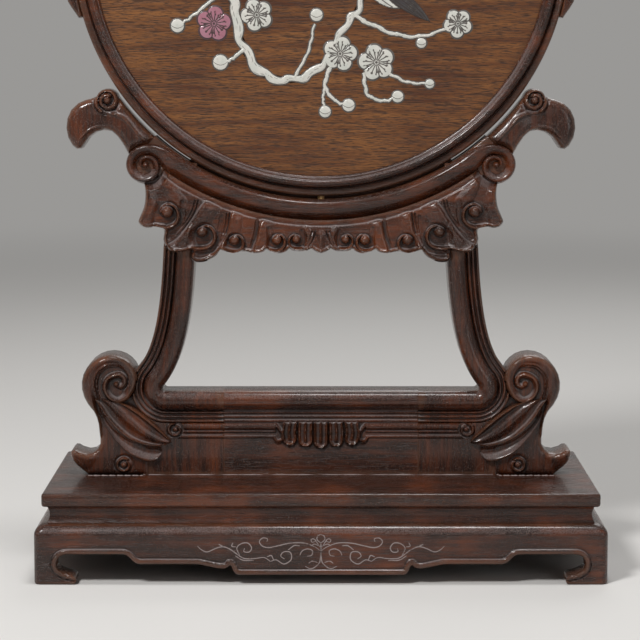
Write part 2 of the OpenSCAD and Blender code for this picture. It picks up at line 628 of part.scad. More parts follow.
// Branches: the points that each runs through, then its width at both ends
branches = [
    [[[-76, 8], [-62, -8], [-42, -22], [-38, -42], [-27, -58], [-14, -61], [0, -55], [10, -38], [18, -27],
        [22, -10], [22, 8], [15, 22], [10, 33]], 4.4, 1.6],
    [[[-13, -61], [-6, -48], [-3, -35]], 1.4, 0.9],
    [[[-35, -46], [-41, -51], [-45, -53]], 1.6, 1],
    [[[-46, -20], [-58, -30], [-65, -35]], 1.5, 0.9],
    [[[5, -53], [2, -64], [7, -71], [12, -73]], 1.8, 1],
    [[[2, -64], [1, -70], [2, -75]], 1.2, 0.9],
    [[[20, -58], [22, -68], [30, -71], [35, -69]], 1.6, 1],
    [[[30, -57], [40, -62], [50, -63]], 1.4, 0.9],
    [[[15, -31], [32, -39], [46, -41], [60, -37]], 1.8, 1.1],
    [[[22, 2], [34, 14], [44, 26], [52, 30]], 1.5, 0.9],
    [[[-62, -8], [-56, 8], [-48, 16]], 1.6, 1.1],
    [[[-57, 6], [-61, 20], [-62, 34]], 1.3, 0.9],
    [[[11, 39], [21, 46], [29, 50]], 1.3, 0.9]];
function strip(b) = let (p = smooth(b[0]), n = len(p) - 1) concat(
    [for (i = [0:n]) p[i] + left_of(tangent(p, i)) * (b[1] + (b[2] - b[1]) * i / n) / 2],
    [for (i = [n:-1:0]) p[i] - left_of(tangent(p, i)) * (b[1] + (b[2] - b[1]) * i / n) / 2]);
function fatter(b, grow) = [b[0], b[1] + 2 * grow, b[2] + 2 * grow];

module blossom_shape(b, grow) {
    translate([b[0], b[1]]) {
        circle(r = b[2] * 0.5);
        for (k = [0:4]) rotate(b[3] + 72 * k) translate([b[2] * 0.55, 0]) circle(r = b[2] * 0.45 + grow);
    }
}
module blossom_shapes(grow, first, last) { for (i = [first:last]) blossom_shape(blossoms[i], grow); }
module bud_shapes(grow) { for (b = buds) translate([b[0], b[1]]) circle(r = b[2] + grow); }
bird_at = [31, -21];
module bird_body_shape(grow) {
    translate(bird_at) rotate(-26) {
        polygon(concat(
            bez([-12 - grow, 1], [-8, -8 - grow], [6, -8 - grow], [12 + grow, -1], 8),
            tail(bez([12 + grow, -1], [8, 5 + grow], [-6, 7 + grow], [-12 - grow, 1], 8))));
        translate([-11.4, 4.6]) circle(r = 4.3 + grow);
        translate([-15.2, 4.4])
            polygon([[0.8, 1.6 + grow], [0.8, -1.6 - grow], [-4.4 - grow, -grow], [-4.4 - grow, grow]]);
    }
}
module bird_wing_shape(grow) {
    translate(bird_at) rotate(-26) polygon(concat(
        bez([24 + grow, -3 - grow], [15, 3.6 + grow], [4, 6 + grow], [-6 - grow, 2.4], 8),
        tail(bez([-6 - grow, 2.4], [0, -3.4 - grow], [13, -5 - grow], [24 + grow, -3 - grow], 8))));
}
module shell_layer(grow, top) {
    depth = shell_t - shell_proud;
    translate([0, -panel_f + depth + grow, disc_z]) rotate([90, 0, 0])
        linear_extrude(depth + grow + top) scale(sight_r / inlay_r) children();
}
module inlay_blossoms() { color(shell) shell_layer(0, shell_proud) blossom_shapes(0, 1, len(blossoms) - 1); }
module inlay_pink_blossom() { color("#b98a94") shell_layer(0, shell_proud) blossom_shapes(0, 0, 0); }
module inlay_buds() { color(shell) shell_layer(0, shell_proud) bud_shapes(0); }
module inlay_branches() {
    color(shell) shell_layer(0, shell_proud) difference() {
        for (b = branches) polygon(strip(b));
        blossom_shapes(inlay_gap, 0, len(blossoms) - 1);
        bud_shapes(inlay_gap);
        bird_body_shape(inlay_gap);
        bird_wing_shape(inlay_gap);
    }
}
module inlay_bird_body() {
    color(shell) shell_layer(0, shell_proud) difference() {
        bird_body_shape(0);
        bird_wing_shape(inlay_gap);
    }
}
module inlay_bird_wings() { color("#3a3330") shell_layer(0, shell_proud) bird_wing_shape(0); }
module screen_panel() {
    color(wood_light) difference() {
        translate([0, -panel_f + panel_t, disc_z]) rotate([90, 0, 0])
            cylinder(r = panel_r, h = panel_t, $fn = 180);
        shell_layer(inlay_gap, 1) {
            for (b = branches) polygon(strip(fatter(b, inlay_gap)));
            blossom_shapes(inlay_gap, 0, len(blossoms) - 1);
            bud_shapes(inlay_gap);
            bird_body_shape(inlay_gap);
            bird_wing_shape(inlay_gap);
        }
    }
}

base_top_board();
base_waist_front();
base_waist_back();
base_waist_left();
base_waist_right();
base_apron_front();
base_apron_back();
base_apron_left();
base_apron_right();
corner_blocks();
lower_rail();
side_post_left();
side_post_right();
scroll_bracket_left();
scroll_bracket_right();
bracket_dowels();
cradle_rail();
carved_apron();
cradle_wing_left();
cradle_wing_right();
wing_dowels();
ring_lower();
ring_upper();
ring_keys();
screen_panel();
inlay_branches();
inlay_blossoms();
inlay_pink_blossom();
inlay_buds();
inlay_bird_body();
inlay_bird_wings();
ear_left();
ear_right();
locating_peg();
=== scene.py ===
"""A Chinese table screen: a round inlaid disc in a carved hardwood cradle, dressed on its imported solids."""

import math
from types import SimpleNamespace

import bpy
import numpy as np
from bpy.props import FloatProperty, FloatVectorProperty, PointerProperty
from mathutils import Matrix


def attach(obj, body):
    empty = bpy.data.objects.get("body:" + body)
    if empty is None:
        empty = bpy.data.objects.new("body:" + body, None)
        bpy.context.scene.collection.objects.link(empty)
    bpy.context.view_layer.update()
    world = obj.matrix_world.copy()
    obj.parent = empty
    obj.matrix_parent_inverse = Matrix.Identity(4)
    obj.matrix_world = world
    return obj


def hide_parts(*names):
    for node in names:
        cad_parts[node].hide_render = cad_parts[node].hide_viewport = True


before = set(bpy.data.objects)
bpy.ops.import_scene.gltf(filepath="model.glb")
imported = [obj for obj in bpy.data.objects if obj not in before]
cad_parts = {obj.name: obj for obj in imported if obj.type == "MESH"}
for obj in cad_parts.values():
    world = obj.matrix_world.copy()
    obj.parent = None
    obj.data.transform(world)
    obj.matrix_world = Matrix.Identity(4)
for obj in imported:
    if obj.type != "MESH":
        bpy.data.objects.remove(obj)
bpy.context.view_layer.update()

bl_info = {
    "name": "Chinese Table Screen",
    "version": (1, 0, 0),
    "blender": (4, 5, 0),
    "location": "View3D > Sidebar > Table Screen",
    "description": "Builds the carved wood, shell inlay and finishes of a table screen",
    "category": "Object",
}

MM = 0.001
# Strength of the background where it is seen, and where it only lights the screen
BACKGROUND, FILL_LIGHT = 0.42, 0.14


def srgb(red, green, blue):
    """A colour given as screen values from 0 to 255, as linear light."""
    share = np.array([red, green, blue]) / 255
    return tuple(np.where(share > 0.04045, ((share + 0.055) / 1.055) ** 2.4, share / 12.92))


def length(name, description, value):
    """A size setting, given in millimetres."""
    return FloatProperty(name=name, description=description, default=value * MM, unit="LENGTH", precision=4)


def colour(name, description, *value):
    """A colour setting, given as screen values."""
    return FloatVectorProperty(name=name, description=description, default=srgb(*value), subtype="COLOR",
                               min=0, max=1)


class ScreenSizes(bpy.types.PropertyGroup):
    """Sizes of the carved forms. The main sizes follow the solids."""

    base_w: length("Base width", "Width over the front apron", 262)
    base_d: length("Base depth", "Depth over the side aprons", 121)
    apron_h: length("Apron height", "Height of the aprons with their feet", 27.6)
    apron_t: length("Apron thickness", "Thickness of the apron boards", 12)
    shoulder: length("Shoulder", "Radius of the aprons' rounded shoulder", 5.4)
    bead: length("Edge bead", "Width of the bead along the aprons' lower edge", 2.3)
    bead_rise: length("Bead rise", "How far that bead stands out", 0.7)
    base_h: length("Base height", "Top of the base", 41.4)
    slab_t: length("Top board thickness", "Thickness of the base's top board", 6.2)
    slab_edge: length("Top board edge", "Rounding of the top board's edges", 1.3)
    rail_z: length("Rail height", "Top of the stand's lower rail", 81.6)
    rail_half: length("Rail half", "Half the length of the middle piece of the lower rail", 46.2)
    joint_x: length("Bracket joint", "Where the scroll brackets meet the side posts", 84.5)
    disc_z: length("Disc height", "Height of the disc's centre", 289.4)
    ring_r: length("Ring radius", "Outer radius of the moulded ring", 115.6)
    sight_r: length("Sight radius", "Radius of the visible panel", 106)
    cradle_r: length("Cradle radius", "Inner radius of the cradle", 116.9)
    cradle_out: length("Cradle outer radius", "Outer radius of the cradle", 126.5)
    wing_edge: length("Wing edge", "Rounding of the wings' edges", 4.4)
    bracket_edge: length("Bracket edge", "Rounding of the brackets' edges", 3)
    shell_rise: length("Shell rise", "How far the shell stands above the panel", 0.45)


class ScreenColours(bpy.types.PropertyGroup):
    """Colours of the wood, the shell and the stage."""

    # Painted shade with old dirt: the hollows of the carving darken towards this colour
    wood_black: colour("Wood, black", "Old dirt in the grooves of the carving", 20, 9, 6)
    wood_deep: colour("Wood, deep", "Dark streaks of the hardwood", 32, 13, 6)
    wood_mid: colour("Wood, middle", "Main tone of the hardwood", 68, 30, 13)
    wood_warm: colour("Wood, warm", "Light streaks of the hardwood", 116, 56, 22)
    # Worn crests with a painted highlight along them, and painted glints over the grain, take this colour
    wood_polish_and_highlight: colour("Wood, polished", "Worn crests of the carving", 112, 76, 56)
    # Besides dust and old wax, a painted sheen of the overhead light on the carving's upward slopes takes this colour
    dust_and_sheen: colour("Dust", "Old wax and dust on the carving", 150, 138, 136)
    panel_deep: colour("Panel, deep", "Pores of the disc's wood", 56, 33, 18)
    panel_light: colour("Panel, light", "Main tone of the disc's wood", 134, 86, 44)
    shell_white: colour("Shell", "Mother of pearl", 214, 211, 203)
    shell_pink: colour("Pink shell", "The pink blossom", 164, 108, 122)
    shell_dark: colour("Dark shell", "The bird's wing and tail", 52, 46, 44)
    ink: colour("Engraving", "Filled lines cut into the shell", 44, 30, 24)
    plain_wood: colour("Hidden wood", "Dowels, keys and glue blocks", 150, 104, 66)
    bamboo: colour("Peg", "The light peg under the disc", 196, 160, 104)
    floor: colour("Floor", "The studio's floor and background", 226, 224, 221)


def sizes():
    """The size settings in millimetres."""
    group = bpy.context.scene.table_screen_sizes
    return SimpleNamespace(**{key: getattr(group, key) / MM for key in ScreenSizes.__annotations__})


def tint(key):
    """A colour setting with full alpha."""
    return (*getattr(bpy.context.scene.table_screen_colours, key), 1.0)


# Curves in the plane of a carving, as arrays of points

def bezier(a, b, c, d, n=16):
    """Points on the cubic curve from a to d that b and c pull on."""
    t = np.linspace(0, 1, n + 1)[:, None]
    a, b, c, d = (np.asarray(p, float) for p in (a, b, c, d))
    return (1 - t) ** 3 * a + 3 * (1 - t) ** 2 * t * b + 3 * (1 - t) * t * t * c + t ** 3 * d


def through(points, n=8):
    """A smooth curve through the points: between two of them, the cubic whose slopes follow their neighbours."""
    p = np.asarray(points, float)
    p = np.vstack([2 * p[0] - p[1], p, 2 * p[-1] - p[-2]])
    t = (np.arange(n) / n)[:, None, None]
    a, b, c, d = p[:-3], p[1:-2], p[2:-1], p[3:]
    q = (2 * b + (c - a) * t + (2 * a - 5 * b + 4 * c - d) * t ** 2 + (3 * b - a - 3 * c + d) * t ** 3) / 2
    return np.vstack([q.transpose(1, 0, 2).reshape(-1, p.shape[1]), p[-2:-1]])


def coil(centre, table, n=8):
    """A smooth curve through places given as angle and radius about a centre."""
    p = through(table, n)
    a = np.radians(p[:, 0])
    return np.asarray(centre) + p[:, 1:] * np.stack([np.cos(a), np.sin(a)], 1)


def arc(centre, radius, a0, a1, n=24):
    """Points on a circle from angle a0 to a1, in degrees."""
    return coil(centre, np.stack([np.linspace(a0, a1, n + 1), np.full(n + 1, radius)], 1), 1)


def rounds(*paths):
    """Several paths as one."""
    return np.vstack(paths)


def loop(points):
    """The segments of a closed outline."""
    return np.stack([points, np.roll(points, -1, 0)], 1)


def mirrored(path):
    """A path on the other side of the middle, running the other way."""
    return (path * [-1, 1])[::-1]


def oblong(x0, x1, z0, z1):
    """The segments of an upright rectangle."""
    return loop(np.array([[x0, z0], [x1, z0], [x1, z1], [x0, z1]]))


def steps(*spans):
    """Grid lines over spans given as start, end and spacing."""
    parts = [np.linspace(a, b, max(1, round((b - a) / s)) + 1) for a, b, s in spans]
    return np.unique(np.round(np.concatenate(parts), 5))


# Heights over a distance

def bell(q):
    """1 at 0, falling off to both sides as the bell curve does."""
    return np.exp(-q * q)


def bow(q, power=0.5):
    """One less the square, and nothing beyond a distance of 1, to a power: a half round with 0.5."""
    return np.clip(1 - q * q, 0, None) ** power


def rise(x, low, high):
    """0 at the low value, 1 at the high one and straight between them. It falls where low is the greater."""
    return np.clip((x - low) / (high - low), 0, 1)


def eased(x):
    """A rise from 0 to 1 with soft ends."""
    return x * x * (3 - 2 * x)


def fold(p):
    """Places in the front view, with the left half laid over the right one."""
    return np.abs(p * [1, 0]) + p * [0, 1]


def away(p, centre):
    """Distances from a centre."""
    return np.hypot(*(p - centre).T)


# Distances that the carving is worked out from

def along(points, path, reach=7.0):
    """Signed distance from a path, positive on its left, and the share of its length at the nearest place.

    Points further than the reach get an infinite distance."""
    low, high = path.min(0) - reach, path.max(0) + reach
    near = np.flatnonzero(((points > low) & (points < high)).all(1))
    side, share = np.full(len(points), np.inf), np.zeros(len(points))
    a, ab = path[:-1], np.diff(path, axis=0)
    size = np.maximum(np.hypot(*ab.T), 1e-9)
    start = np.concatenate([[0], np.cumsum(size)])
    for block in np.array_split(near, len(near) * len(ab) // 1500000 + 1):
        ap = points[block, None] - a
        t = np.clip((ap * ab).sum(2) / size ** 2, 0, 1)
        gap = ap - t[..., None] * ab
        k = (gap ** 2).sum(2).argmin(1)
        rows = np.arange(len(block))
        gap, t = gap[rows, k], t[rows, k]
        turn = ab[k, 0] * gap[:, 1] - ab[k, 1] * gap[:, 0]
        side[block] = np.hypot(*gap.T) * np.where(turn < 0, -1, 1)
        share[block] = (start[k] + t * size[k]) / start[-1]
    return side, share


def field(points, segments):
    """Signed distance to a closed outline, positive inside, and the nearest place on it."""
    a, ab = segments[:, 0], segments[:, 1] - segments[:, 0]
    size = (ab ** 2).sum(1) + 1e-12
    far, spot = np.empty(len(points)), np.empty_like(points)
    for block in np.array_split(np.arange(len(points)), len(points) * len(a) // 1500000 + 1):
        p = points[block]
        ap = p[:, None] - a
        t = np.clip((ap * ab).sum(2) / size, 0, 1)[..., None]
        gap = t * ab - ap
        spot[block] = p + gap[np.arange(len(p)), (gap ** 2).sum(2).argmin(1)]
        z, z0, z1 = p[:, None, 1], a[:, 1], a[:, 1] + ab[:, 1]
        left = ab[:, 0] * ap[..., 1] - ab[:, 1] * ap[..., 0] > 0
        wind = ((z0 <= z) & (z1 > z) & left).sum(1) - ((z0 > z) & (z1 <= z) & ~left).sum(1)
        far[block] = np.hypot(*(spot[block] - p).T) * np.where(wind != 0, 1, -1)
    return far, spot


def section(node, depth):
    """The outline of a solid where a plane at this depth, in millimetres, cuts its triangles."""
    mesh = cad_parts[node].data
    mesh.calc_loop_triangles()
    place = np.empty(len(mesh.vertices) * 3)
    mesh.vertices.foreach_get("co", place)
    corner = np.empty(len(mesh.loop_triangles) * 3, int)
    mesh.loop_triangles.foreach_get("vertices", corner)
    t = (place.reshape(-1, 3) / MM)[corner.reshape(-1, 3)] - [0, depth + 0.0013, 0]
    above = t[:, :, 1] > 0
    cut = above.any(1) & ~above.all(1)
    t, above = t[cut], above[cut]
    one = above.sum(1) == 1
    lone = np.where(one, above.argmax(1), (~above).argmax(1))
    a, b, c = (t[np.arange(len(t)), (lone + k) % 3] for k in range(3))
    ends = [(a + (q - a) * (a[:, 1] / (a[:, 1] - q[:, 1]))[:, None])[:, [0, 2]] for q in (b, c)]
    return np.where(one[:, None, None], np.stack(ends, 1), np.stack(ends[::-1], 1))


def drop(distance, radius):
    """How far a rounded edge falls away: nothing at the radius from the edge, the whole radius at the edge."""
    reach = radius - np.clip(distance, 0, radius)
    return radius - np.sqrt(radius ** 2 - reach ** 2)


def ridge(points, path, left, right, height, ends=(1.0, 1.0), power=1.0):
    """A carved ridge: its height times one less the square of the distance over the width on that side.

    Width and height go from the first to the last of the ends along the path."""
    side, share = along(points, path, 1.2 * max(left, right) * max(ends))
    size = ends[0] + (ends[1] - ends[0]) * share
    return height * size * bow(np.abs(side) / (np.where(side > 0, left, right) * size), power)


def groove(points, path, width, depth, ends=(1.0, 1.0)):
    """A cut line: a ridge of the same width on both sides, below the surface."""
    return -ridge(points, path, width, width, depth, ends)


def dome(points, centre, radius, height):
    """A rounded knob: part of an ellipsoid over a circle."""
    return height * bow(away(points, centre) / radius)


# Surfaces

FRONT = np.array([[1, 0, 0], [0, 0, 1], [0, -1, 0]], float)
BACK = np.array([[-1, 0, 0], [0, 0, 1], [0, 1, 0]], float)
RIGHT = np.array([[0, 1, 0], [0, 0, 1], [1, 0, 0]], float)
LEFT = np.array([[0, -1, 0], [0, 0, 1], [-1, 0, 0]], float)
TOP = np.array([[1, 0, 0], [0, 1, 0], [0, 0, 1]], float)


def carve(segments, across, up, front, back, plane=FRONT):
    """A carved board: a grid clipped to an outline, with a front and a back height at each of its points.

    A cell is kept where the outline's distance is positive on average, and the points on the rim of the kept
    cells move to the nearest place on the outline. A wall joins front and back round the rim."""
    grid = np.stack(np.meshgrid(across, up), -1)
    shape = grid.shape[:2]
    p = grid.reshape(-1, 2)
    d, spot = field(p, segments)
    inside = d.reshape(shape)
    keep = inside[:-1, :-1] + inside[1:, :-1] + inside[:-1, 1:] + inside[1:, 1:] > 0
    pad = np.pad(keep, 1)
    count = sum(q.astype(int) for q in (pad[:-1, :-1], pad[1:, :-1], pad[:-1, 1:], pad[1:, 1:])).ravel()
    rim = (count > 0) & (count < 4)
    p[rim], d[rim] = spot[rim], 0
    used = np.flatnonzero(count)
    number = np.full(count.size, -1)
    number[used] = np.arange(len(used))
    number = number.reshape(shape)
    p, d, n = p[used], np.maximum(d[used], 0), len(used)
    verts = np.vstack([np.column_stack([p, h(p, d)]) for h in (front, back)]) @ plane
    j, i = np.nonzero(keep)
    face = np.stack([number[j, i], number[j, i + 1], number[j + 1, i + 1], number[j + 1, i]], 1)
    faces = [face, face[:, ::-1] + n]
    sides = ((pad[:-2, 1:-1], (0, 0), (0, 1)), (pad[1:-1, 2:], (0, 1), (1, 1)),
             (pad[2:, 1:-1], (1, 1), (1, 0)), (pad[1:-1, :-2], (1, 0), (0, 0)))
    for beyond, a, b in sides:
        j, i = np.nonzero(keep & ~beyond)
        a, b = number[j + a[0], i + a[1]], number[j + b[0], i + b[1]]
        faces.append(np.stack([a, a + n, b + n, b], 1))
    return verts, faces


def skin(rings, closed=False):
    """A surface over rings of points, each ring closed; the ends are closed too, or joined to each other."""
    m, n = rings.shape[:2]
    number = np.arange(m * n).reshape(m, n)
    a = number if closed else number[:-1]
    b = np.roll(number, -1, 0) if closed else number[1:]
    faces = [np.stack([a, np.roll(a, -1, 1), np.roll(b, -1, 1), b], -1).reshape(-1, 4)]
    verts = rings.reshape(-1, 3)
    if not closed:
        first, last = number[0], number[-1]
        verts = np.vstack([verts, rings[0].mean(0), rings[-1].mean(0)])
        faces.append(np.stack([np.roll(first, -1), first, np.full(n, m * n)], 1))
        faces.append(np.stack([last, np.roll(last, -1), np.full(n, m * n + 1)], 1))
    volume = sum(np.einsum("ij,ij->", verts[f[:, 0]], np.cross(verts[f[:, 1]], verts[f[:, 2]])
                           + (np.cross(verts[f[:, 2]], verts[f[:, 3]]) if f.shape[1] == 4 else 0)) for f in faces)
    return verts, faces if volume > 0 else [f[:, ::-1] for f in faces]


def flipped(shell):
    """The same surface on the other side of the middle."""
    return shell[0] * [-1, 1, 1], [f[:, ::-1] for f in shell[1]]


def turned(profile, angles, centre):
    """A profile of radius and depth carried round a centre in the front view, at angles in degrees."""
    a = np.radians(angles)[:, None]
    r, y = profile[:, 0], np.broadcast_to(profile[:, 1], (len(angles), len(profile)))
    return np.stack([centre[0] + r * np.cos(a), y, centre[1] + r * np.sin(a)], -1)


def normals(path):
    """Directions to the left of a path in its plane."""
    t = np.gradient(path, axis=0)
    t /= np.maximum(np.hypot(*t.T), 1e-9)[:, None]
    return np.stack([-t[:, 1], t[:, 0]], 1)


def swept(path, profile):
    """A profile of sideways place and height carried along a path in the front view.

    The profile is one for the whole path, or has one row of points for each place on it."""
    profile = np.broadcast_to(profile, (len(path), *np.shape(profile)[-2:]))
    p = path[:, None] + normals(path)[:, None] * profile[..., :1]
    return np.stack([p[..., 0], -profile[..., 1], p[..., 1]], -1)


def hollows(verts, faces, passes):
    """How far the smoothed surface lies outside the surface, in millimetres: more than 0 in a hollow.

    The second result is how far the surface faces up, from -1 to 1."""
    a = np.concatenate([f.ravel() for f in faces])
    b = np.concatenate([np.roll(f, -1, 1).ravel() for f in faces])
    a, b, n = np.concatenate([a, b]), np.concatenate([b, a]), len(verts)
    count = np.maximum(np.bincount(a, minlength=n), 1)[:, None]
    soft = verts
    for _ in range(passes):
        soft = np.stack([np.bincount(a, soft[b, k], n) for k in range(3)], 1) / count
    normal = np.zeros_like(verts)
    for f in faces:
        way = np.cross(verts[f[:, 2]] - verts[f[:, 0]], verts[f[:, -1]] - verts[f[:, 1]])
        normal += np.stack([np.bincount(f.ravel(), np.repeat(way[:, k], f.shape[1]), n) for k in range(3)], 1)
    normal /= np.maximum(np.linalg.norm(normal, axis=1), 1e-12)[:, None]
    return ((soft - verts) * normal).sum(1), normal[:, 2]


def piece(name, shells, nodes, material, body="stand", passes=1, sharp=50, marks=None):
    """One object from closed surfaces: smooth shading with sharp edges, and its hollows as an attribute."""
    verts, faces, start = [], [], 0
    for v, f in shells:
        verts.append(v)
        faces += [g + start for g in f]
        start += len(v)
    verts = np.vstack(verts)
    mesh = bpy.data.meshes.new(name)
    mesh.from_pydata(verts * MM, [], [row for f in faces for row in f.tolist()])
    cavity, upward = hollows(verts, faces, passes)
    for key, value in (("cavity", cavity), ("upward", upward), ("ink", marks)):
        if value is not None:
            mesh.attributes.new(key, "FLOAT", "POINT").data.foreach_set("value", value)
    mesh.shade_smooth()
    mesh.set_sharp_from_angle(angle=math.radians(sharp))
    mesh.materials.append(material)
    obj = bpy.data.objects.new(name, mesh)
    bpy.context.collection.objects.link(obj)
    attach(obj, body)
    if nodes:
        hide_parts(*nodes)


def wooden(name, shells, nodes, grain, passes, body="stand"):
    """A piece of dark hardwood."""
    piece(name, shells, nodes, finish("hardwood_" + grain, hardwood, grain), body, passes)


def pair(name, node, shells, passes, body="stand"):
    """A piece of dark hardwood with upright grain on the right, and its mirror image on the left."""
    wooden(name + "_right", shells, [node + "_right"], "z", passes, body)
    wooden(name + "_left", [flipped(shell) for shell in shells], [node + "_left"], "z", passes, body)


# Finishes

class Wire:
    """A shader socket that takes part in sums: an operator on it adds one Math node."""

    def __init__(self, tree, socket=None):
        self.tree, self.socket = tree, socket

    def connect(self, node, values):
        """Sets the sockets of a node to values, or links them to wires."""
        for key, value in values.items():
            if isinstance(value, Wire):
                self.tree.links.new(value.socket, node.inputs[key])
            else:
                node.inputs[key].default_value = value

    def node(self, kind, settings=None, sockets=None, out=0):
        """Adds a node: its settings first, then the values or links of its sockets."""
        new = self.tree.nodes.new(kind)
        for key, value in (settings or {}).items():
            setattr(new, key, value)
        self.connect(new, sockets or {})
        return Wire(self.tree, new.outputs[out])

    def sum(self, kind, a, b):
        """One Math node."""
        return self.node("ShaderNodeMath", {"operation": kind}, {0: a, 1: b})

    def __add__(self, other):
        return self.sum("ADD", self, other)

    def __radd__(self, other):
        return self.sum("ADD", other, self)

    def __sub__(self, other):
        return self.sum("SUBTRACT", self, other)

    def __rsub__(self, other):
        return self.sum("SUBTRACT", other, self)

    def __mul__(self, other):
        return self.sum("MULTIPLY", self, other)

    def __rmul__(self, other):
        return self.sum("MULTIPLY", other, self)

    def ramp(self, low, high):
        """0 below the low value, 1 above the high one, and a smooth rise between them."""
        return self.node("ShaderNodeMapRange", {"interpolation_type": "SMOOTHSTEP"},
                         {0: self, 1: low, 2: high, 3: 0.0, 4: 1.0})

    def mix(self, a, b):
        """A colour between two, by this share."""
        return self.node("ShaderNodeMix", {"data_type": "RGBA"}, {0: self, 6: a, 7: b}, 2)

    def noise(self, place, scale, detail=3.0, rough=0.55):
        """Cloudy values from 0 to 1 over a place."""
        return self.node("ShaderNodeTexNoise", None,
                         {"Vector": place, "Scale": scale, "Detail": detail, "Roughness": rough})

    def place(self):
        """Object coordinates."""
        return self.node("ShaderNodeTexCoord", None, None, "Object")

    def attribute(self, key):
        """A value that the mesh carries at its points."""
        return self.node("ShaderNodeAttribute", {"attribute_name": key}, None, 2)

    def bump(self, strength, distance, height):
        """The normal of a surface with fine relief."""
        return self.node("ShaderNodeBump", None, {"Strength": strength, "Distance": distance, "Height": height})


def finish(name, paint, *details):
    """The finish of this name. When it is new, paint gets a wire and gives the values of the surface's sockets."""
    material = bpy.data.materials.get(name)
    if material is None:
        material = bpy.data.materials.new(name)
        material.use_nodes = True
        wire = Wire(material.node_tree)
        wire.connect(material.node_tree.nodes["Principled BSDF"], paint(wire, *details))
    return material


def coated(body, *coats):
    """A colour under coats, each given as its share and a colour setting."""
    for share, shade in coats:
        body = share.mix(body, tint(shade))
    return body


def grained(wire, grain, turn=(0.0, 0.0, 0.0)):
    """Object coordinates, and the same in millimetres and drawn out along the grain."""
    place = wire.place()
    stretch = tuple(70.0 if axis == grain else 1000.0 for axis in "xyz")
    return place, wire.node("ShaderNodeMapping", None, {"Vector": place, "Rotation": turn, "Scale": stretch})


def hardwood(wire, grain):
    """Dark waxed hardwood: streaks and pores along the grain, painted shade with old grime in the grooves, crests with
    wear and a painted highlight, painted glints, and dust with a painted sheen on upward slopes.
    """
    place, fibre = grained(wire, grain)
    broad = wire.noise(place, 38.0, 2.0)
    streak = wire.noise(fibre, 0.4, 4.0, 0.6)
    pore = wire.noise(fibre, 1.7, 2.0, 0.5).ramp(0.54, 0.66)
    grit = wire.noise(place, 1900.0, 1.0)
    # The pale specks mixed into the colour are painted glints; in the bump they are fine relief
    speck = grit.ramp(0.54, 0.70)
    cavity, upward = wire.attribute("cavity"), wire.attribute("upward")
    tone = (streak * 0.6 + broad * 0.5).ramp(0.38, 0.70)
    warm = (broad * 0.7 + streak * 0.4).ramp(0.52, 0.76)
    # Crests lighten towards the polish colour: real wear, with a painted highlight along them
    worn_and_highlight, dirt_and_shade = (cavity * -1.0).ramp(0.10, 0.6), cavity.ramp(0.05, 0.40)
    # Upward-tilted slopes of the carving turn pale lilac: a painted sheen of the overhead light, with dust in their
    # hollows
    slope = upward.ramp(0.10, 0.55) * (1.0 - upward.ramp(0.72, 0.95))
    dust_and_sheen = slope * (cavity + grit * 0.6).ramp(0.10, 0.50) * (0.4 + broad * 0.7)
    wood = coated(tone.mix(tint("wood_deep"), tint("wood_mid")), (warm * 0.6, "wood_warm"), (pore * 0.65, "wood_deep"),
                  (speck * 0.4, "wood_polish_and_highlight"), (worn_and_highlight * (0.1 + broad * 0.5), "wood_polish_and_highlight"),
                  # Hollows darken towards black here: painted shade, with old dirt
                  (dirt_and_shade * 0.85, "wood_black"), (dust_and_sheen * 0.75, "dust_and_sheen"))
    bump = wire.bump(0.6, 0.0004, (1.0 - pore) * 0.6 + streak * 0.4 + speck * 0.9)
    rough = 0.20 + broad * 0.10 + pore * 0.14 + dust_and_sheen * 0.3 + dirt_and_shade * 0.3 - worn_and_highlight * 0.08
    return {"Base Color": wood, "Roughness": rough, "Normal": bump, "Coat Weight": 0.35, "Coat Roughness": 0.1,
            "Specular IOR Level": 0.35}


def panel_wood(wire):
    """Golden-brown wood of the disc: level grain with dark open pores and a faint figure."""
    place, fibre = grained(wire, "x", (0.0, 0.035, 0.0))
    figure = wire.noise(fibre, 0.3, 5.0, 0.65)
    pore = wire.noise(fibre, 1.6, 3.0, 0.6).ramp(0.50, 0.64)
    fine = wire.noise(fibre, 3.2, 2.0, 0.5)
    broad = wire.noise(place, 16.0, 2.0)
    tone = (figure * 0.8 + broad * 0.35).ramp(0.32, 0.80)
    wood = coated(tone.mix(tint("wood_mid"), tint("panel_light")), (pore * 0.8, "panel_deep"),
                  (fine.ramp(0.50, 0.60) * 0.8, "panel_deep"))
    bump = wire.bump(0.5, 0.0003, (1.0 - pore) * 0.8 + fine * 0.4)
    return {"Base Color": wood, "Roughness": 0.42 + pore * 0.2 + broad * 0.1, "Normal": bump, "Coat Weight": 0.12,
            "Coat Roughness": 0.3, "Specular IOR Level": 0.35}


def hidden_wood(wire):
    """Plain pale wood of dowels, keys and blocks, with its grain."""
    line = wire.noise(grained(wire, "x")[1], 0.5, 3.0)
    return {"Base Color": line.ramp(0.35, 0.7).mix(tint("plain_wood"), tint("wood_warm")),
            "Roughness": 0.6 + line * 0.2}


def peg_bamboo(wire):
    """Pale split bamboo with fine lines along it."""
    line = wire.noise(grained(wire, "z")[1], 1.4, 2.0)
    return {"Base Color": line.ramp(0.4, 0.66).mix(tint("bamboo"), tint("plain_wood")),
            "Roughness": 0.45 + line * 0.2}


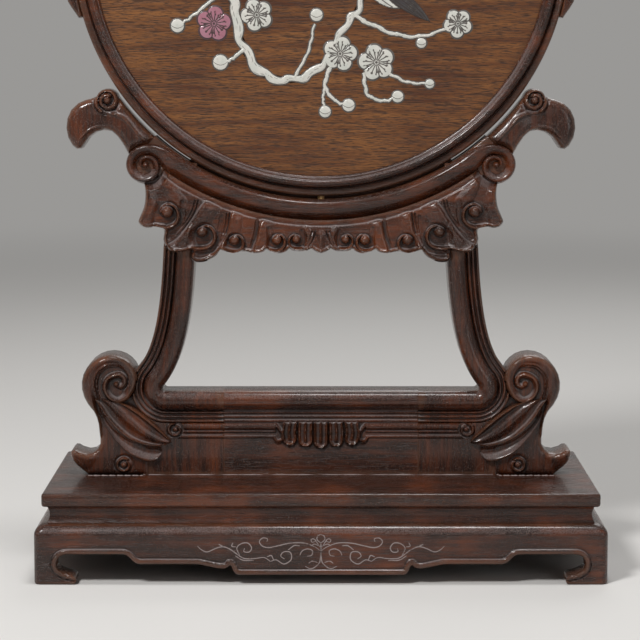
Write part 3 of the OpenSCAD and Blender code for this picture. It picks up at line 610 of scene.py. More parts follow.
def pearl(wire, shade, cast):
    """Polished shell: a cloudy tone with faint coloured bands, and dark filled engraving where the ink says."""
    place = wire.place()
    cloud = wire.noise(place, 190.0, 3.0)
    band = wire.noise(place, 420.0, 4.0, 0.65)
    cut = wire.attribute("ink").ramp(0.25, 0.7)
    body = (cloud.ramp(0.35, 0.7) * 0.55).mix(tint(shade), cast)
    body = (band.ramp(0.52, 0.72) * 0.3).mix(body, (0.30, 0.27, 0.23, 1.0))
    return {"Base Color": coated(body, (cut * 0.9, "ink")), "Roughness": 0.22 + cloud * 0.14 + cut * 0.3,
            "Normal": wire.bump(0.3, 0.0002, band - cut), "Coat Weight": 0.3, "Coat Roughness": 0.12}


def wax(wire):
    """Pale old wax and dust in joints and incised lines."""
    place = wire.place()
    speck, broad = wire.noise(place, 1100.0, 3.0), wire.noise(place, 90.0, 2.0)
    tone = (speck * 0.7 + broad * 0.5).ramp(0.30, 0.62)
    return {"Base Color": tone.mix(tint("wood_mid"), tint("dust_and_sheen")), "Roughness": 0.7 + speck * 0.15}


def studio_floor(wire):
    """A plain pale floor with the faintest clouding, which far away goes over into the background."""
    place, nodes = wire.place(), wire.tree.nodes
    tone = (wire.noise(place, 1.2, 2.0) * 0.12).mix(tint("floor"), (0.6, 0.59, 0.57, 1.0))
    far = wire.node("ShaderNodeVectorMath", {"operation": "LENGTH"}, {0: place}, "Value").ramp(0.5, 2.2)
    glow = wire.node("ShaderNodeEmission", None, {"Color": tint("floor"), "Strength": BACKGROUND})
    near = Wire(wire.tree, nodes["Principled BSDF"].outputs[0])
    wire.connect(nodes["Material Output"],
                 {"Surface": wire.node("ShaderNodeMixShader", None, {0: far, 1: near, 2: glow})})
    return {"Base Color": tone, "Roughness": 0.8, "Specular IOR Level": 0.2}


# Pieces of the base

# Half the length of the aprons' middle drop, the levels of their lower edge, and the rounding of the corners
DROP_HALF, DROP_Z, STEP_Z, ARCH_Z, CORNER_R = 37.0, 4.6, 9.6, 14.2, 3.4
# How far the ankle, the toe's curl and the toe lie in from the corner, and the level of the toe's tip
ANKLE_IN, CURL_IN, TOE_IN, TIP_Z = 10.3, 14.6, 19.4, 4.3


def apron_edge(half, step_half, cusped):
    """The lower edge of an apron from its middle to the toe of its foot: ogee curves, the ankle and the toe."""
    d, x, a, toe = DROP_HALF, step_half, half - ANKLE_IN, half - TOE_IN
    middle = [[[0, STEP_Z]]]
    if cusped:
        middle = [[[0, DROP_Z]], bezier([d, DROP_Z], [d + 3, DROP_Z], [d + 2.6, STEP_Z - 3], [d + 4.4, STEP_Z], 10),
                  bezier([d + 4.4, STEP_Z], [d + 6, STEP_Z - 3.6], [d + 11, STEP_Z - 1.6], [d + 19, STEP_Z], 12)[1:]]
    return rounds(*middle, bezier([x, STEP_Z], [x + 4, STEP_Z], [x + 4.4, ARCH_Z], [x + 8.4, ARCH_Z], 12),
                  bezier([a - 6, ARCH_Z], [a - 2, ARCH_Z], [a, ARCH_Z - 1.6], [a, ARCH_Z - 5], 10),
                  bezier([a, ARCH_Z - 5], [a, 6.4], [toe + 6, 5.2], [toe + 1.6, TIP_Z], 12)[1:])


def apron(width, depth, step_half, cusped, plane):
    """An apron board: its face with a bead along the lower edge, a rounded shoulder, and a mitre at each end.

    The bead is a half round over the distance from the edge; the shoulder falls away on a quarter circle."""
    s = sizes()
    half, face = width / 2, depth / 2
    toe, eye = half - TOE_IN, [half - CURL_IN, 4.9]
    edge = apron_edge(half, step_half, cusped)
    tip = bezier([toe + 1.6, TIP_Z], [toe - 0.7, 3.6], [toe - 0.6, 0], [toe + 2.4, 0], 8)[1:]
    up = np.linspace(0, s.apron_h, 40)
    right = rounds(edge[1:], tip, np.stack([half - 0.293 * CORNER_R - drop(s.apron_h - up, s.shoulder), up], 1))
    toe_curl = coil(eye, [[200, 3.4], [120, 3.0], [20, 2.6], [-80, 2.2], [-170, 1.5]], 6)

    def front(p, d):
        q = fold(p)
        off = np.abs(along(q, edge, 9)[0])
        bead = s.bead_rise * bow((off - s.bead / 2) / (s.bead / 2)) - 0.4 * bell((off - s.bead - 0.3) / 0.35)
        curl = ridge(q, toe_curl, 0.8, 0.8, 0.55, (1, 0.6)) - dome(q, eye, 3.6, 0.3)
        fall = drop(s.apron_h - p[:, 1], s.shoulder)
        return face + bead + curl - fall - drop(half - np.abs(p[:, 0]) - fall, CORNER_R) - drop(p[:, 1], 0.9)

    def back(p, d):
        return np.minimum(face - np.clip(half - np.abs(p[:, 0]), 0, s.apron_t), front(p, d) - 0.05)

    foot = half - 22
    across = steps((-half, -foot, 0.45), (-foot, foot, 0.8), (foot, half, 0.45))
    up = steps((0, 17, 0.42), (17, s.apron_h - 5, 0.9), (s.apron_h - 5, s.apron_h, 0.35))
    return carve(loop(rounds(right, mirrored(right))), across, up, front, back, plane)


class TABLESCREEN_OT_aprons(bpy.types.Operator):
    """Four mitred apron boards with hoof feet, a cusped edge and its bead"""

    bl_idname = "table_screen.aprons"
    bl_label = "Base Aprons"

    def execute(self, context):
        s = sizes()
        wide, deep = (s.base_w, s.base_d, 82.4, True), (s.base_d, s.base_w, 24.0, False)
        for side, plane, board, grain in (("front", FRONT, wide, "x"), ("back", BACK, wide, "x"),
                                          ("right", RIGHT, deep, "y"), ("left", LEFT, deep, "y")):
            wooden("apron_" + side, [apron(*board, plane)], ["base_apron_" + side], grain, 6)
        return {"FINISHED"}


def ribbon(path, width, low, high):
    """A thin raised line along a path: a flat-topped strip that narrows to its ends."""
    t = np.linspace(0, 1, len(path))[:, None]
    w = width * (0.35 + 0.65 * np.sin(np.pi * np.clip(t * 0.94 + 0.04, 0, 1)) ** 0.5)
    side = w * [0.5, 0.32, -0.32, -0.5]
    return skin(swept(path, np.stack([side, np.broadcast_to([low, high, high, low], side.shape)], -1)))


class TABLESCREEN_OT_scrollwork(bpy.types.Operator):
    """Fine incised vines on the front apron, filled with old wax"""

    bl_idname = "table_screen.scrollwork"
    bl_label = "Apron Scrollwork"

    def execute(self, context):
        s = sizes()
        lines = [through(p, 8) for p in (
            [[0, 15.7], [2.9, 17.7], [7.6, 19.4], [13.6, 19.4], [18.9, 18.3], [23.6, 17.3], [26.6, 18], [28, 20],
             [26.6, 21.7], [24.4, 21.4], [24.6, 20]],
            [[23, 10.9], [26, 12.7], [30.3, 12.2], [35, 12.3], [38.3, 14.3], [41, 16.3], [44.4, 17.7], [47.7, 17],
             [51.7, 15.3], [54.4, 16.3], [56.2, 18]],
            [[30.6, 11.4], [35.6, 11.5], [39, 13.5]],
            [[37, 13.7], [38.3, 17], [36.3, 19.1], [33.3, 19.4], [31.6, 17.3], [32.6, 15.3], [35, 15.4], [34.8, 17]],
            [[38.7, 17.6], [40.6, 18], [40, 19.6]], [[44.4, 17.7], [46.6, 18.9]],
            [[23, 10.9], [20.3, 11.6], [16.9, 9.7], [13.6, 11.7], [13.9, 15], [16.9, 15.3], [18.3, 13.4], [16.6, 12]],
            [[14.9, 16.2], [12.2, 18.2], [9.6, 18.1]], [[21.6, 11.6], [22.6, 13.6], [24.6, 13]],
            [[9.6, 13.7], [8.6, 15.7], [6.2, 16.7], [3.9, 15.9], [4.2, 13.8], [6.2, 13.3]],
            [[0, 15.7], [0.2, 12.6], [0.9, 10], [4.2, 7.5], [7.2, 8.6]], [[1.6, 10.4], [4, 11], [5.6, 10]],
            [[0, 23.4], [1.5, 22.6], [1.7, 20.9], [0, 19.4]],
            [[0, 17], [1.4, 19], [3, 21.2], [4.4, 21], [4, 19.8], [2.4, 20.2]],
            [[0.6, 18], [3, 18.9], [4.6, 18]], [[0, 19.4], [0.2, 17.8], [0, 15.7]])]
        face = s.base_d / 2
        lines = [ribbon(path, 0.66, face - 0.3, face + 0.08) for path in lines]
        piece("apron_scrollwork", lines + [flipped(line) for line in lines], [], finish("old_wax", wax))
        return {"FINISHED"}


class TABLESCREEN_OT_top_board(bpy.types.Operator):
    """The base's top board with soft edges, and the line of old wax round the foot of the stand"""

    bl_idname = "table_screen.top_board"
    bl_label = "Base Top Board"

    def execute(self, context):
        s = sizes()
        x, y, r = s.base_w / 2 - 3.4, s.base_d / 2 - 3.4, 1.5
        corners = [arc([i * (x - r), j * (y - r)], r, a, a + 90, 8)
                   for i, j, a in ((1, 1, 0), (-1, 1, 90), (-1, -1, 180), (1, -1, 270))]
        grid = [steps((-e, 2 - e, 0.22), (2 - e, e - 2, 3), (e - 2, e, 0.22)) for e in (x, y)]
        board = carve(loop(rounds(*corners)), *grid, lambda p, d: s.base_h - drop(d, s.slab_edge),
                      lambda p, d: s.base_h - s.slab_t + drop(d, s.slab_edge), TOP)
        wooden("top_board", [board], ["base_top_board"], "x", 4)
        front = np.array([[-s.joint_x, FIELD_F], [s.joint_x, FIELD_F]])
        toe = np.array([[s.joint_x, 11], [s.joint_x + 26, 11]])
        t = np.linspace(0, 1, 160)[:, None]
        wide = (0.24 + 0.22 * np.sin(67 * t) * np.sin(23 * t))[:, 0]
        lines = []
        for a, b in (front, toe, -front, -toe, toe * [-1, 1], toe * [1, -1]):
            path, out = a + (b - a) * t, np.sign(a[1])
            ring = [np.stack([path[:, 0], -path[:, 1] - out * k * wide, s.base_h + h * wide], -1)
                    for k, h in ((-0.4, 0.9), (0.3, 0.5), (0.9, 0.05), (0.9, -0.4), (-0.4, -0.4))]
            lines.append(skin(np.stack(ring, 1)))
        piece("wax_line", lines, [], finish("old_wax", wax))
        return {"FINISHED"}


# Pieces of the stand

# Spacing of the grid on the finest carving
FINE = 0.36
# Levels in front of the middle plane: the round member, the board and its field; then the moulding's width
STAND_F, BOARD_F, FIELD_F, MOULD_W = 12.5, 9.0, 8.7, 15.0
# The lower board stands in the top board by so much
SUNK = 1.2


def moulding(u):
    """Height of the stand's front over the distance from the window: a round member, then three fine lines."""
    roll = STAND_F - 4.6 + 4.6 * bow(np.clip((u - 4.5) / 4.5, -1, 1))
    lines = 7.9 + sum(1.5 * bow((u - c) / 0.85, 0.6) for c in (10.2, 12.3, 14.3))
    return np.where(u < 9, roll, lines - 0.5 * bell((u - 9.2) / 0.5))


def banding(u):
    """Height of the board below the moulding: a rounded band, a line, a groove and a line, then the flat."""
    lines = sum(0.8 * bow((u - c) / 0.6, 0.6) for c in (19.3, 21.9))
    return FIELD_F + 1.6 * bow((u - 16.9) / 1.75) + lines - 0.5 * bell((u - 20.6) / 0.5) - 0.4 * bell((u - 15.0) / 0.4)


def stand_face(p):
    """Height of the lower board's front at places in the front view."""
    u = sizes().rail_z - p[:, 1]
    return np.where(u < MOULD_W + 0.4, moulding(u), banding(u))


def board_levels():
    """Grid lines up the lower board, close together on the mouldings."""
    s = sizes()
    return steps((s.base_h - SUNK, 58, 0.8), (58, 73.4, 0.24), (73.4, s.rail_z - 1, 0.4),
                 (s.rail_z - 1, s.rail_z, 0.15))


class TABLESCREEN_OT_lower_rail(bpy.types.Operator):
    """The middle of the lower board: round member, lines, a banded edge and a carved clasp"""

    bl_idname = "table_screen.lower_rail"
    bl_label = "Lower Rail"

    def execute(self, context):
        s = sizes()
        top = s.rail_z - 15.4
        tongues = [np.array([[0.95 * x, top + 1.0], [x, top - 4.4], [0.97 * x, top - 8.6 + 0.09 * abs(x)]])
                   for x in (-15.2, -7.5, 0.0, 7.5, 15.2)]
        hook = through([[21.4, top - 0.6], [18.4, top - 4.4], [18.4, top - 7.6], [20.6, top - 8.6], [22, top - 7]], 8)

        def front(p, d):
            side, u = np.abs(p[:, 0]), s.rail_z - p[:, 1]
            clasp = np.zeros(len(p))
            for tongue in tongues:
                off = np.abs(along(p, tongue, 5)[0])
                rim = bell((off - 2.75) / 0.4) + 1.3 * bell(off / 0.45)
                clasp = np.maximum(clasp, 0.9 * rise(off, 3.5, 3.1) + 1.2 * rim)
            clasp = clasp * np.clip(top + 1.0 - p[:, 1], 0, 1) + ridge(fold(p), hook, 1.1, 1.1, 1.5, (1, 0.7))
            bed = np.where((side < 21.4) & (u > MOULD_W + 0.4) & (u < 27), FIELD_F, stand_face(p))
            return np.maximum(bed, FIELD_F + clasp) - drop(s.rail_half - side, 0.22)

        half, end = s.rail_half, s.rail_half - 0.6
        across = steps((-half, -end, 0.12), (-end, -24, 1.4), (-24, 24, 0.4), (24, end, 1.4), (end, half, 0.12))
        rail = carve(oblong(-half, half, s.base_h - SUNK, s.rail_z), across, board_levels(), front,
                     lambda p, d: -BOARD_F + drop(s.rail_z - p[:, 1], 1.5))
        wooden("stand_lower_rail", [rail], ["lower_rail"], "x", 7)
        return {"FINISHED"}


# The middle of the bracket's volute, the depth at which its outline is taken, and its back
BRACKET_EYE, BRACKET_CUT, BRACKET_BACK = np.array([98.1, 85.6]), 6.0, -12.0


def spandrel(p):
    """Whether places lie between the bracket's volute and its upper leaf, where the post's lines run on."""
    q = p - BRACKET_EYE
    return (away(p, BRACKET_EYE) > 10.4) & (q[:, 0] < 0) & (q[:, 1] > 0.8 * q[:, 0] - 6.4) & (q[:, 1] < 1)


def post_path():
    """Down the inner edge of the right post, round the window's corner and along the rail to its joint."""
    s = sizes()
    lean, radius = 40, 1.5
    c, u = np.array([73.4, s.rail_z + radius]), np.array([math.cos(math.radians(lean)), math.sin(math.radians(lean))])
    foot = c + radius * u
    line = bezier([58.2, s.disc_z - 100], [58.5, s.rail_z + 46], foot + 20 * u[::-1] * [-1, 1], foot, 72)
    run = np.linspace([72.6, s.rail_z], [s.rail_half, s.rail_z], 24)
    return rounds(line[:-1], arc(c, radius, lean, -90, 26), run)


class TABLESCREEN_OT_side_posts(bpy.types.Operator):
    """The two side posts: a moulded post that turns into the end of the lower board"""

    bl_idname = "table_screen.side_posts"
    bl_label = "Side Posts"

    def execute(self, context):
        s = sizes()
        w, path = MOULD_W, post_path()
        u = steps((0, 0.8, 0.12), (0.8, 8.2, 0.5), (8.2, 9, 0.2), (9, w, 0.2))
        round_back = [[w, -7.5], [w - 0.5, -8.6], [w - 1.5, -9], [1.5, -9], [0.5, -8.6], [0, -7.5]]
        post = swept(path, np.vstack([np.column_stack([u, moulding(u)]), round_back]))
        flat = post.reshape(-1, 3)
        view, level = flat[:, [0, 2]], -flat[:, 1]
        bracket = field(view, section("scroll_bracket_right", BRACKET_CUT))[0]
        under_bracket = (bracket > 0.05) & ~spandrel(view) & (view[:, 1] < 120)
        level = np.where(under_bracket, np.minimum(level, 5.0), level)
        under_apron = (away(view, [0, s.disc_z]) < s.cradle_out + 0.2) | (view[:, 1] > s.disc_z - s.cradle_out - 12.2)
        flat[:, 1] = -np.where(under_apron, np.minimum(level, 5.8), level)
        z0, z1 = s.base_h - SUNK, s.rail_z - 6
        curl_at = np.array([69.2, 63.2])
        curl = coil(curl_at, [[80, 3.2], [0, 3.0], [-90, 2.7], [-180, 2.3], [-250, 1.7]], 8)

        def face(p, d):
            plain = np.where(p[:, 0] > curl_at[0] + 0.6, FIELD_F, banding(s.rail_z - p[:, 1]))
            plain = np.where(away(p, curl_at) < 4.2, FIELD_F - 0.3, plain)
            knob = ridge(p, curl, 1.0, 1.0, 1.7, (1.1, 0.7)) + dome(p, curl_at + [-0.2, 0], 1.3, 1.5)
            plain = np.where(along(p, path, 30)[0] < w + 0.2, 7.0, np.maximum(plain, FIELD_F - 0.3 + knob))
            return plain - drop(p[:, 0] - s.rail_half, 0.22)

        end = s.rail_half + 0.5
        across = steps((s.rail_half, end, 0.12), (end, 63, 1.4), (63, 74, 0.3), (74, s.joint_x, 1.5))
        board = carve(oblong(s.rail_half, s.joint_x, z0, z1), across, steps((z0, 57, 0.9), (57, z1, 0.24)), face,
                      lambda p, d: np.full(len(p), -FIELD_F))
        pair("stand_post", "side_post", [skin(post), board], 6)
        return {"FINISHED"}


def leaf(upper, lower, level, rise_to, shape):
    """A scooped leaf between two edges: each cross-section is the same profile, lowered towards the tip."""
    a, b = (through(edge, 12) for edge in (upper, lower))
    t = np.linspace(0, 1, 60)
    a, b = (np.stack([np.interp(t, np.linspace(0, 1, len(e)), e[:, k]) for k in (0, 1)], 1) for e in (a, b))
    q, table = np.linspace(0, 1, 34), through(shape, 10)
    high = rise_to * (0.62 + 0.38 * np.sin(np.pi * np.minimum(1, 0.25 + t * 0.8)))[:, None]
    h = level + high * np.interp(q, table[:, 0], table[:, 1])
    p = a[:, None] + (b - a)[:, None] * q[:, None]
    top = np.stack([p[..., 0], -h, p[..., 1]], -1)
    under = np.stack([top[:, -1], top[:, 0]], 1)
    under[..., 1] = 1.5 - level
    return skin(np.concatenate([top, under], 1))


class TABLESCREEN_OT_brackets(bpy.types.Operator):
    """The scroll brackets: a big volute with its inner coil, two leaves and a hooked toe"""

    bl_idname = "table_screen.brackets"
    bl_label = "Scroll Brackets"

    def execute(self, context):
        s, c = sizes(), BRACKET_EYE
        crest = c + through([[-2.1, -0.9], [-3.5, -1.4], [-4.9, 0], [-4.8, 2.4], [-2.6, 3.8], [0.7, 3.1], [3.1, 1],
                             [3.7, -2.8], [1.6, -6.6], [-2.1, -8.3], [-6.2, -6.2], [-8.7, -1.8], [-9.2, 2.9],
                             [-7.8, 7.6], [-4.5, 10.9], [0.2, 11.5], [4.9, 10.6], [9.2, 7.1], [11.1, 2.9],
                             [11.4, -1.8], [9.9, -9.0], [8.1, -16], [6.9, -21.6], [7.3, -25.6], [10.2, -30],
                             [14.6, -33.3], [19, -33]], 8)
        boss = c + [-4.5, -39.2]
        boss_ring = coil(boss, [[120, 3.1], [30, 3.1], [-60, 3.0], [-150, 2.7], [-230, 2.1]], 8)
        segments = section("scroll_bracket_right", BRACKET_CUT)
        segments = segments[(segments[:, :, 1] > s.base_h - 0.5).all(1)]
        joint = (np.abs(segments[:, :, 0] - s.joint_x) < 0.05).all(1)
        top, low, x = segments[joint][:, :, 1].max(), s.base_h - 4, s.joint_x
        rest = np.array([[x, top], [x - 3.5, top], [x - 3.5, low], [x + 26.3, low], [x + 26.3, s.base_h]])
        segments = np.concatenate([segments[~joint], np.stack([rest[:-1], rest[1:]], 1)])

        def front(p, d):
            floor, roll_h = 9.3, 3.0
            # Along the crest, the outer turn has begun at 0.42, the stem follows from 0.66 and the toe from 0.88
            side, share = along(p, crest, 16)
            outer, q = side > 0, np.abs(side)
            reach = 1.6 + 4.0 * rise(share, 0.30, 0.42)
            full = rise(share, 0.24, 0.32) * rise(share, 0.74, 0.66)
            toe = rise(share, 0.88, 0.96)
            inside, slope = 2.1 + 1.9 * full + 6.4 * toe, 1.7 - 1.05 * full - 1.0 * toe
            roll = roll_h * np.where(outer, bow(q / reach), np.clip(1 - q / inside, 0, None) ** slope)
            lines = sum(0.9 * bell((side + k) / 0.34) for k in (2.4, 3.7, 5.0))
            lines = lines * np.clip((share - 0.42) * 8, 0, 1) * (share < 0.80)
            body = floor + roll * np.clip(0.5 + share * 6, 0, 1) + lines * ~outer
            body = np.maximum(body, floor - 0.4 + dome(p, c + [-1.4, -0.4], 1.5, 3.0))
            knob = ridge(p, boss_ring, 0.9, 0.9, 1.6, (1, 0.7)) + dome(p, boss, 1.5, 1.7)
            body = np.maximum(body, floor + 0.3 + knob)
            body = np.where(spandrel(p), np.minimum(body, 6.4), body)
            return body - drop(d, s.bracket_edge) * 0.9 - 0.5 * np.exp(-(away(p, boss) - 4.2) ** 2 / 0.3)

        body = carve(segments, steps((x - 3.6, x + 36, FINE)), steps((low, 103.2, FINE)), front,
                     lambda p, d: BRACKET_BACK + drop(d, s.bracket_edge))
        first = leaf(c + [[-1.7, -8.6], [-7.3, -10.8], [-13.9, -15], [-19.6, -19.8], [-24.3, -24.5], [-27.1, -28]],
                     c + [[9, -7.4], [6.4, -11], [3.4, -16], [-1.2, -21.4], [-7.3, -26.4], [-13.9, -29],
                          [-20.5, -29.9], [-27, -28.6]],
                     8.4, 4.9, [[0, 0.3], [0.03, 0.94], [0.07, 1.0], [0.14, 0.66], [0.3, 0.68], [0.45, 0.84],
                                [0.55, 0.84], [0.7, 0.58], [0.85, 0.54], [0.95, 0.86], [0.98, 0.8], [1, 0.1]])
        second = leaf(c + [[6.8, -11.6], [4.4, -16.6], [0.2, -21.8], [-7.3, -26.8], [-15.8, -29.4], [-22, -29.9],
                           [-22.6, -32.6]],
                      c + [[6.6, -14.6], [4.4, -20], [-1.6, -28.2], [-7.3, -33.9], [-13.9, -37.2], [-18.6, -37.7],
                           [-22, -34.6]],
                      8.4, 3.9, [[0, 0.3], [0.06, 0.45], [0.28, 0.3], [0.54, 0.42], [0.8, 0.94], [0.91, 1.0],
                                 [0.97, 0.75], [1, 0.1]])
        pair("bracket", "scroll_bracket", [body, first, second], 9)
        return {"FINISHED"}


# Pieces of the cradle

# The middles of the volutes on the cradle and on its wing, and half the wing's thickness
VOLUTE_EYE = np.array([82.16, 188.66])
WING_EYE, WING_F = VOLUTE_EYE + [17.8, 30.2], 9.5


class TABLESCREEN_OT_cradle(bpy.types.Operator):
    """The cradle rail: a rolled arc that runs over into a spiral volute at each end"""

    bl_idname = "table_screen.cradle"
    bl_label = "Cradle Rail"

    def execute(self, context):
        s = sizes()
        r0, r1, centre = s.cradle_r, s.cradle_out, [0, s.disc_z]
        body = np.array([[r0, -6.6], [r0 + 0.6, -7.2], [r1 - 0.6, -7.2], [r1, -6.6],
                         [r1, 10], [r1 - 0.6, 11.4], [r1 - 2, 12], [r0 + 2, 12], [r0 + 0.6, 11.4], [r0, 10],
                         [r0, 6.8], [r0 + 1.8, 6.8], [r0 + 1.8, -0.8], [r0, -0.8]])
        table = [[168, 10.9, 9.2], [148, 9.3, 7.6], [130, 8.3, 6.4], [90, 7.2, 4.9], [45, 7.0, 4.7],
                 [0, 6.9, 4.6], [-45, 6.7, 4.4], [-90, 6.3, 4.1], [-135, 5.7, 3.8], [-180, 4.9, 3.3],
                 [-225, 4.1, 2.9], [-270, 3.3, 2.5], [-315, 2.6, 2.1], [-360, 2.0, 1.7]]
        spiral = through(table, 10)[4:]
        run = arc(centre, (r0 + r1) / 2, 270, 304.6, 89)
        path = rounds(run, coil(VOLUTE_EYE, spiral[:, :2], 1))
        wide = np.concatenate([np.full(len(run), r1 - r0 - 0.1), spiral[:, 2]])
        path, wide = rounds(mirrored(path), path[1:]), np.concatenate([wide[::-1], wide[1:]])[:, None]
        across, crown = np.cos(np.radians(np.linspace(0, 180, 23))), 0.46
        outer = 1 - 0.72 * (np.clip(crown - across, 0, None) / (1 + crown)) ** 2
        bulge = np.where(across > crown, bow((across - crown) / 0.56), outer)
        side, high = wide / 2 * across, 6.8 + 5.4 * (wide / 9.5) ** 0.35 * bulge
        foot = np.stack([side[:, [-1, 0]], np.full((len(path), 2), 6.0)], -1)
        roll = np.concatenate([np.stack([side, high], -1), foot], 1)
        round_trip = np.linspace(0, 360, 97)[:-1]
        disc = np.array([[9.0, 10], [8.2, 11], [0.6, 11], [0.6, -7.2], [8.0, -7.2], [8.7, -6.9], [9.0, -6.0]])
        r = np.linspace(0.05, 1.6, 8)
        knob = turned(np.stack([r, -7 - 3.6 * bow(r / 1.62)], 1), round_trip, VOLUTE_EYE).transpose(1, 0, 2)
        shells = [skin(turned(body, np.linspace(270 - 41.7, 270 + 41.7, 140), centre)), skin(swept(path, roll))]
        for shell in (skin(turned(disc, round_trip, VOLUTE_EYE), True), skin(knob)):
            shells += [shell, flipped(shell)]
        wooden("cradle", shells, ["cradle_rail"], "x", 5)
        return {"FINISHED"}


class TABLESCREEN_OT_wings(bpy.types.Operator):
    """The hooked wings of the cradle: a soft plate with a small volute and a crest along its edges"""

    bl_idname = "table_screen.wings"
    bl_label = "Cradle Wings"

    def execute(self, context):
        s, v, e = sizes(), VOLUTE_EYE, WING_EYE
        eye = coil(e, [[-60, 5.4], [0, 4.9], [60, 4.6], [120, 4.3], [180, 4.0], [240, 3.6], [300, 3.2], [360, 2.7],
                       [420, 2.3], [470, 2.0]], 8)
        stem = through([e + [3.1, -5.4], e + [-3.4, -6.4], v + [9.6, 21.4], v + [4.6, 15.6], v + [0.6, 11.6]], 10)
        under = v + through([[30.4, 12.6], [25.8, 16.6], [21, 17.9], [16.2, 16.6], [12.6, 13.6], [9.6, 9.6]], 10)

        def front(p, d):
            dish = -1.5 * bell(np.hypot(*((p - v - [20, 22.6]) / [9, 5.6]).T))
            hollow = -1.7 * np.clip(1 - (away(p, e) / 7.2) ** 4, 0, None)
            curl = np.maximum(ridge(p, eye, 1.1, 1.7, 2.9, (0.75, 0.9), 0.7), dome(p, e, 1.9, 3.0))
            crests = ridge(p, stem, 1.0, 1.4, 1.1, (1.1, 0.7)) + ridge(p, under, 1.2, 1.0, 0.9, (0.5, 0.9))
            return WING_F - drop(d, s.wing_edge) + dish + crests + hollow + curl

        grid = [steps((a, b, FINE)) for a, b in zip(v + [-8, -6], v + [40, 40])]
        wing = carve(section("cradle_wing_right", -5.0), *grid, front, lambda p, d: -WING_F + drop(d, s.wing_edge))
        pair("wing", "cradle_wing", [wing], 9)
        return {"FINISHED"}


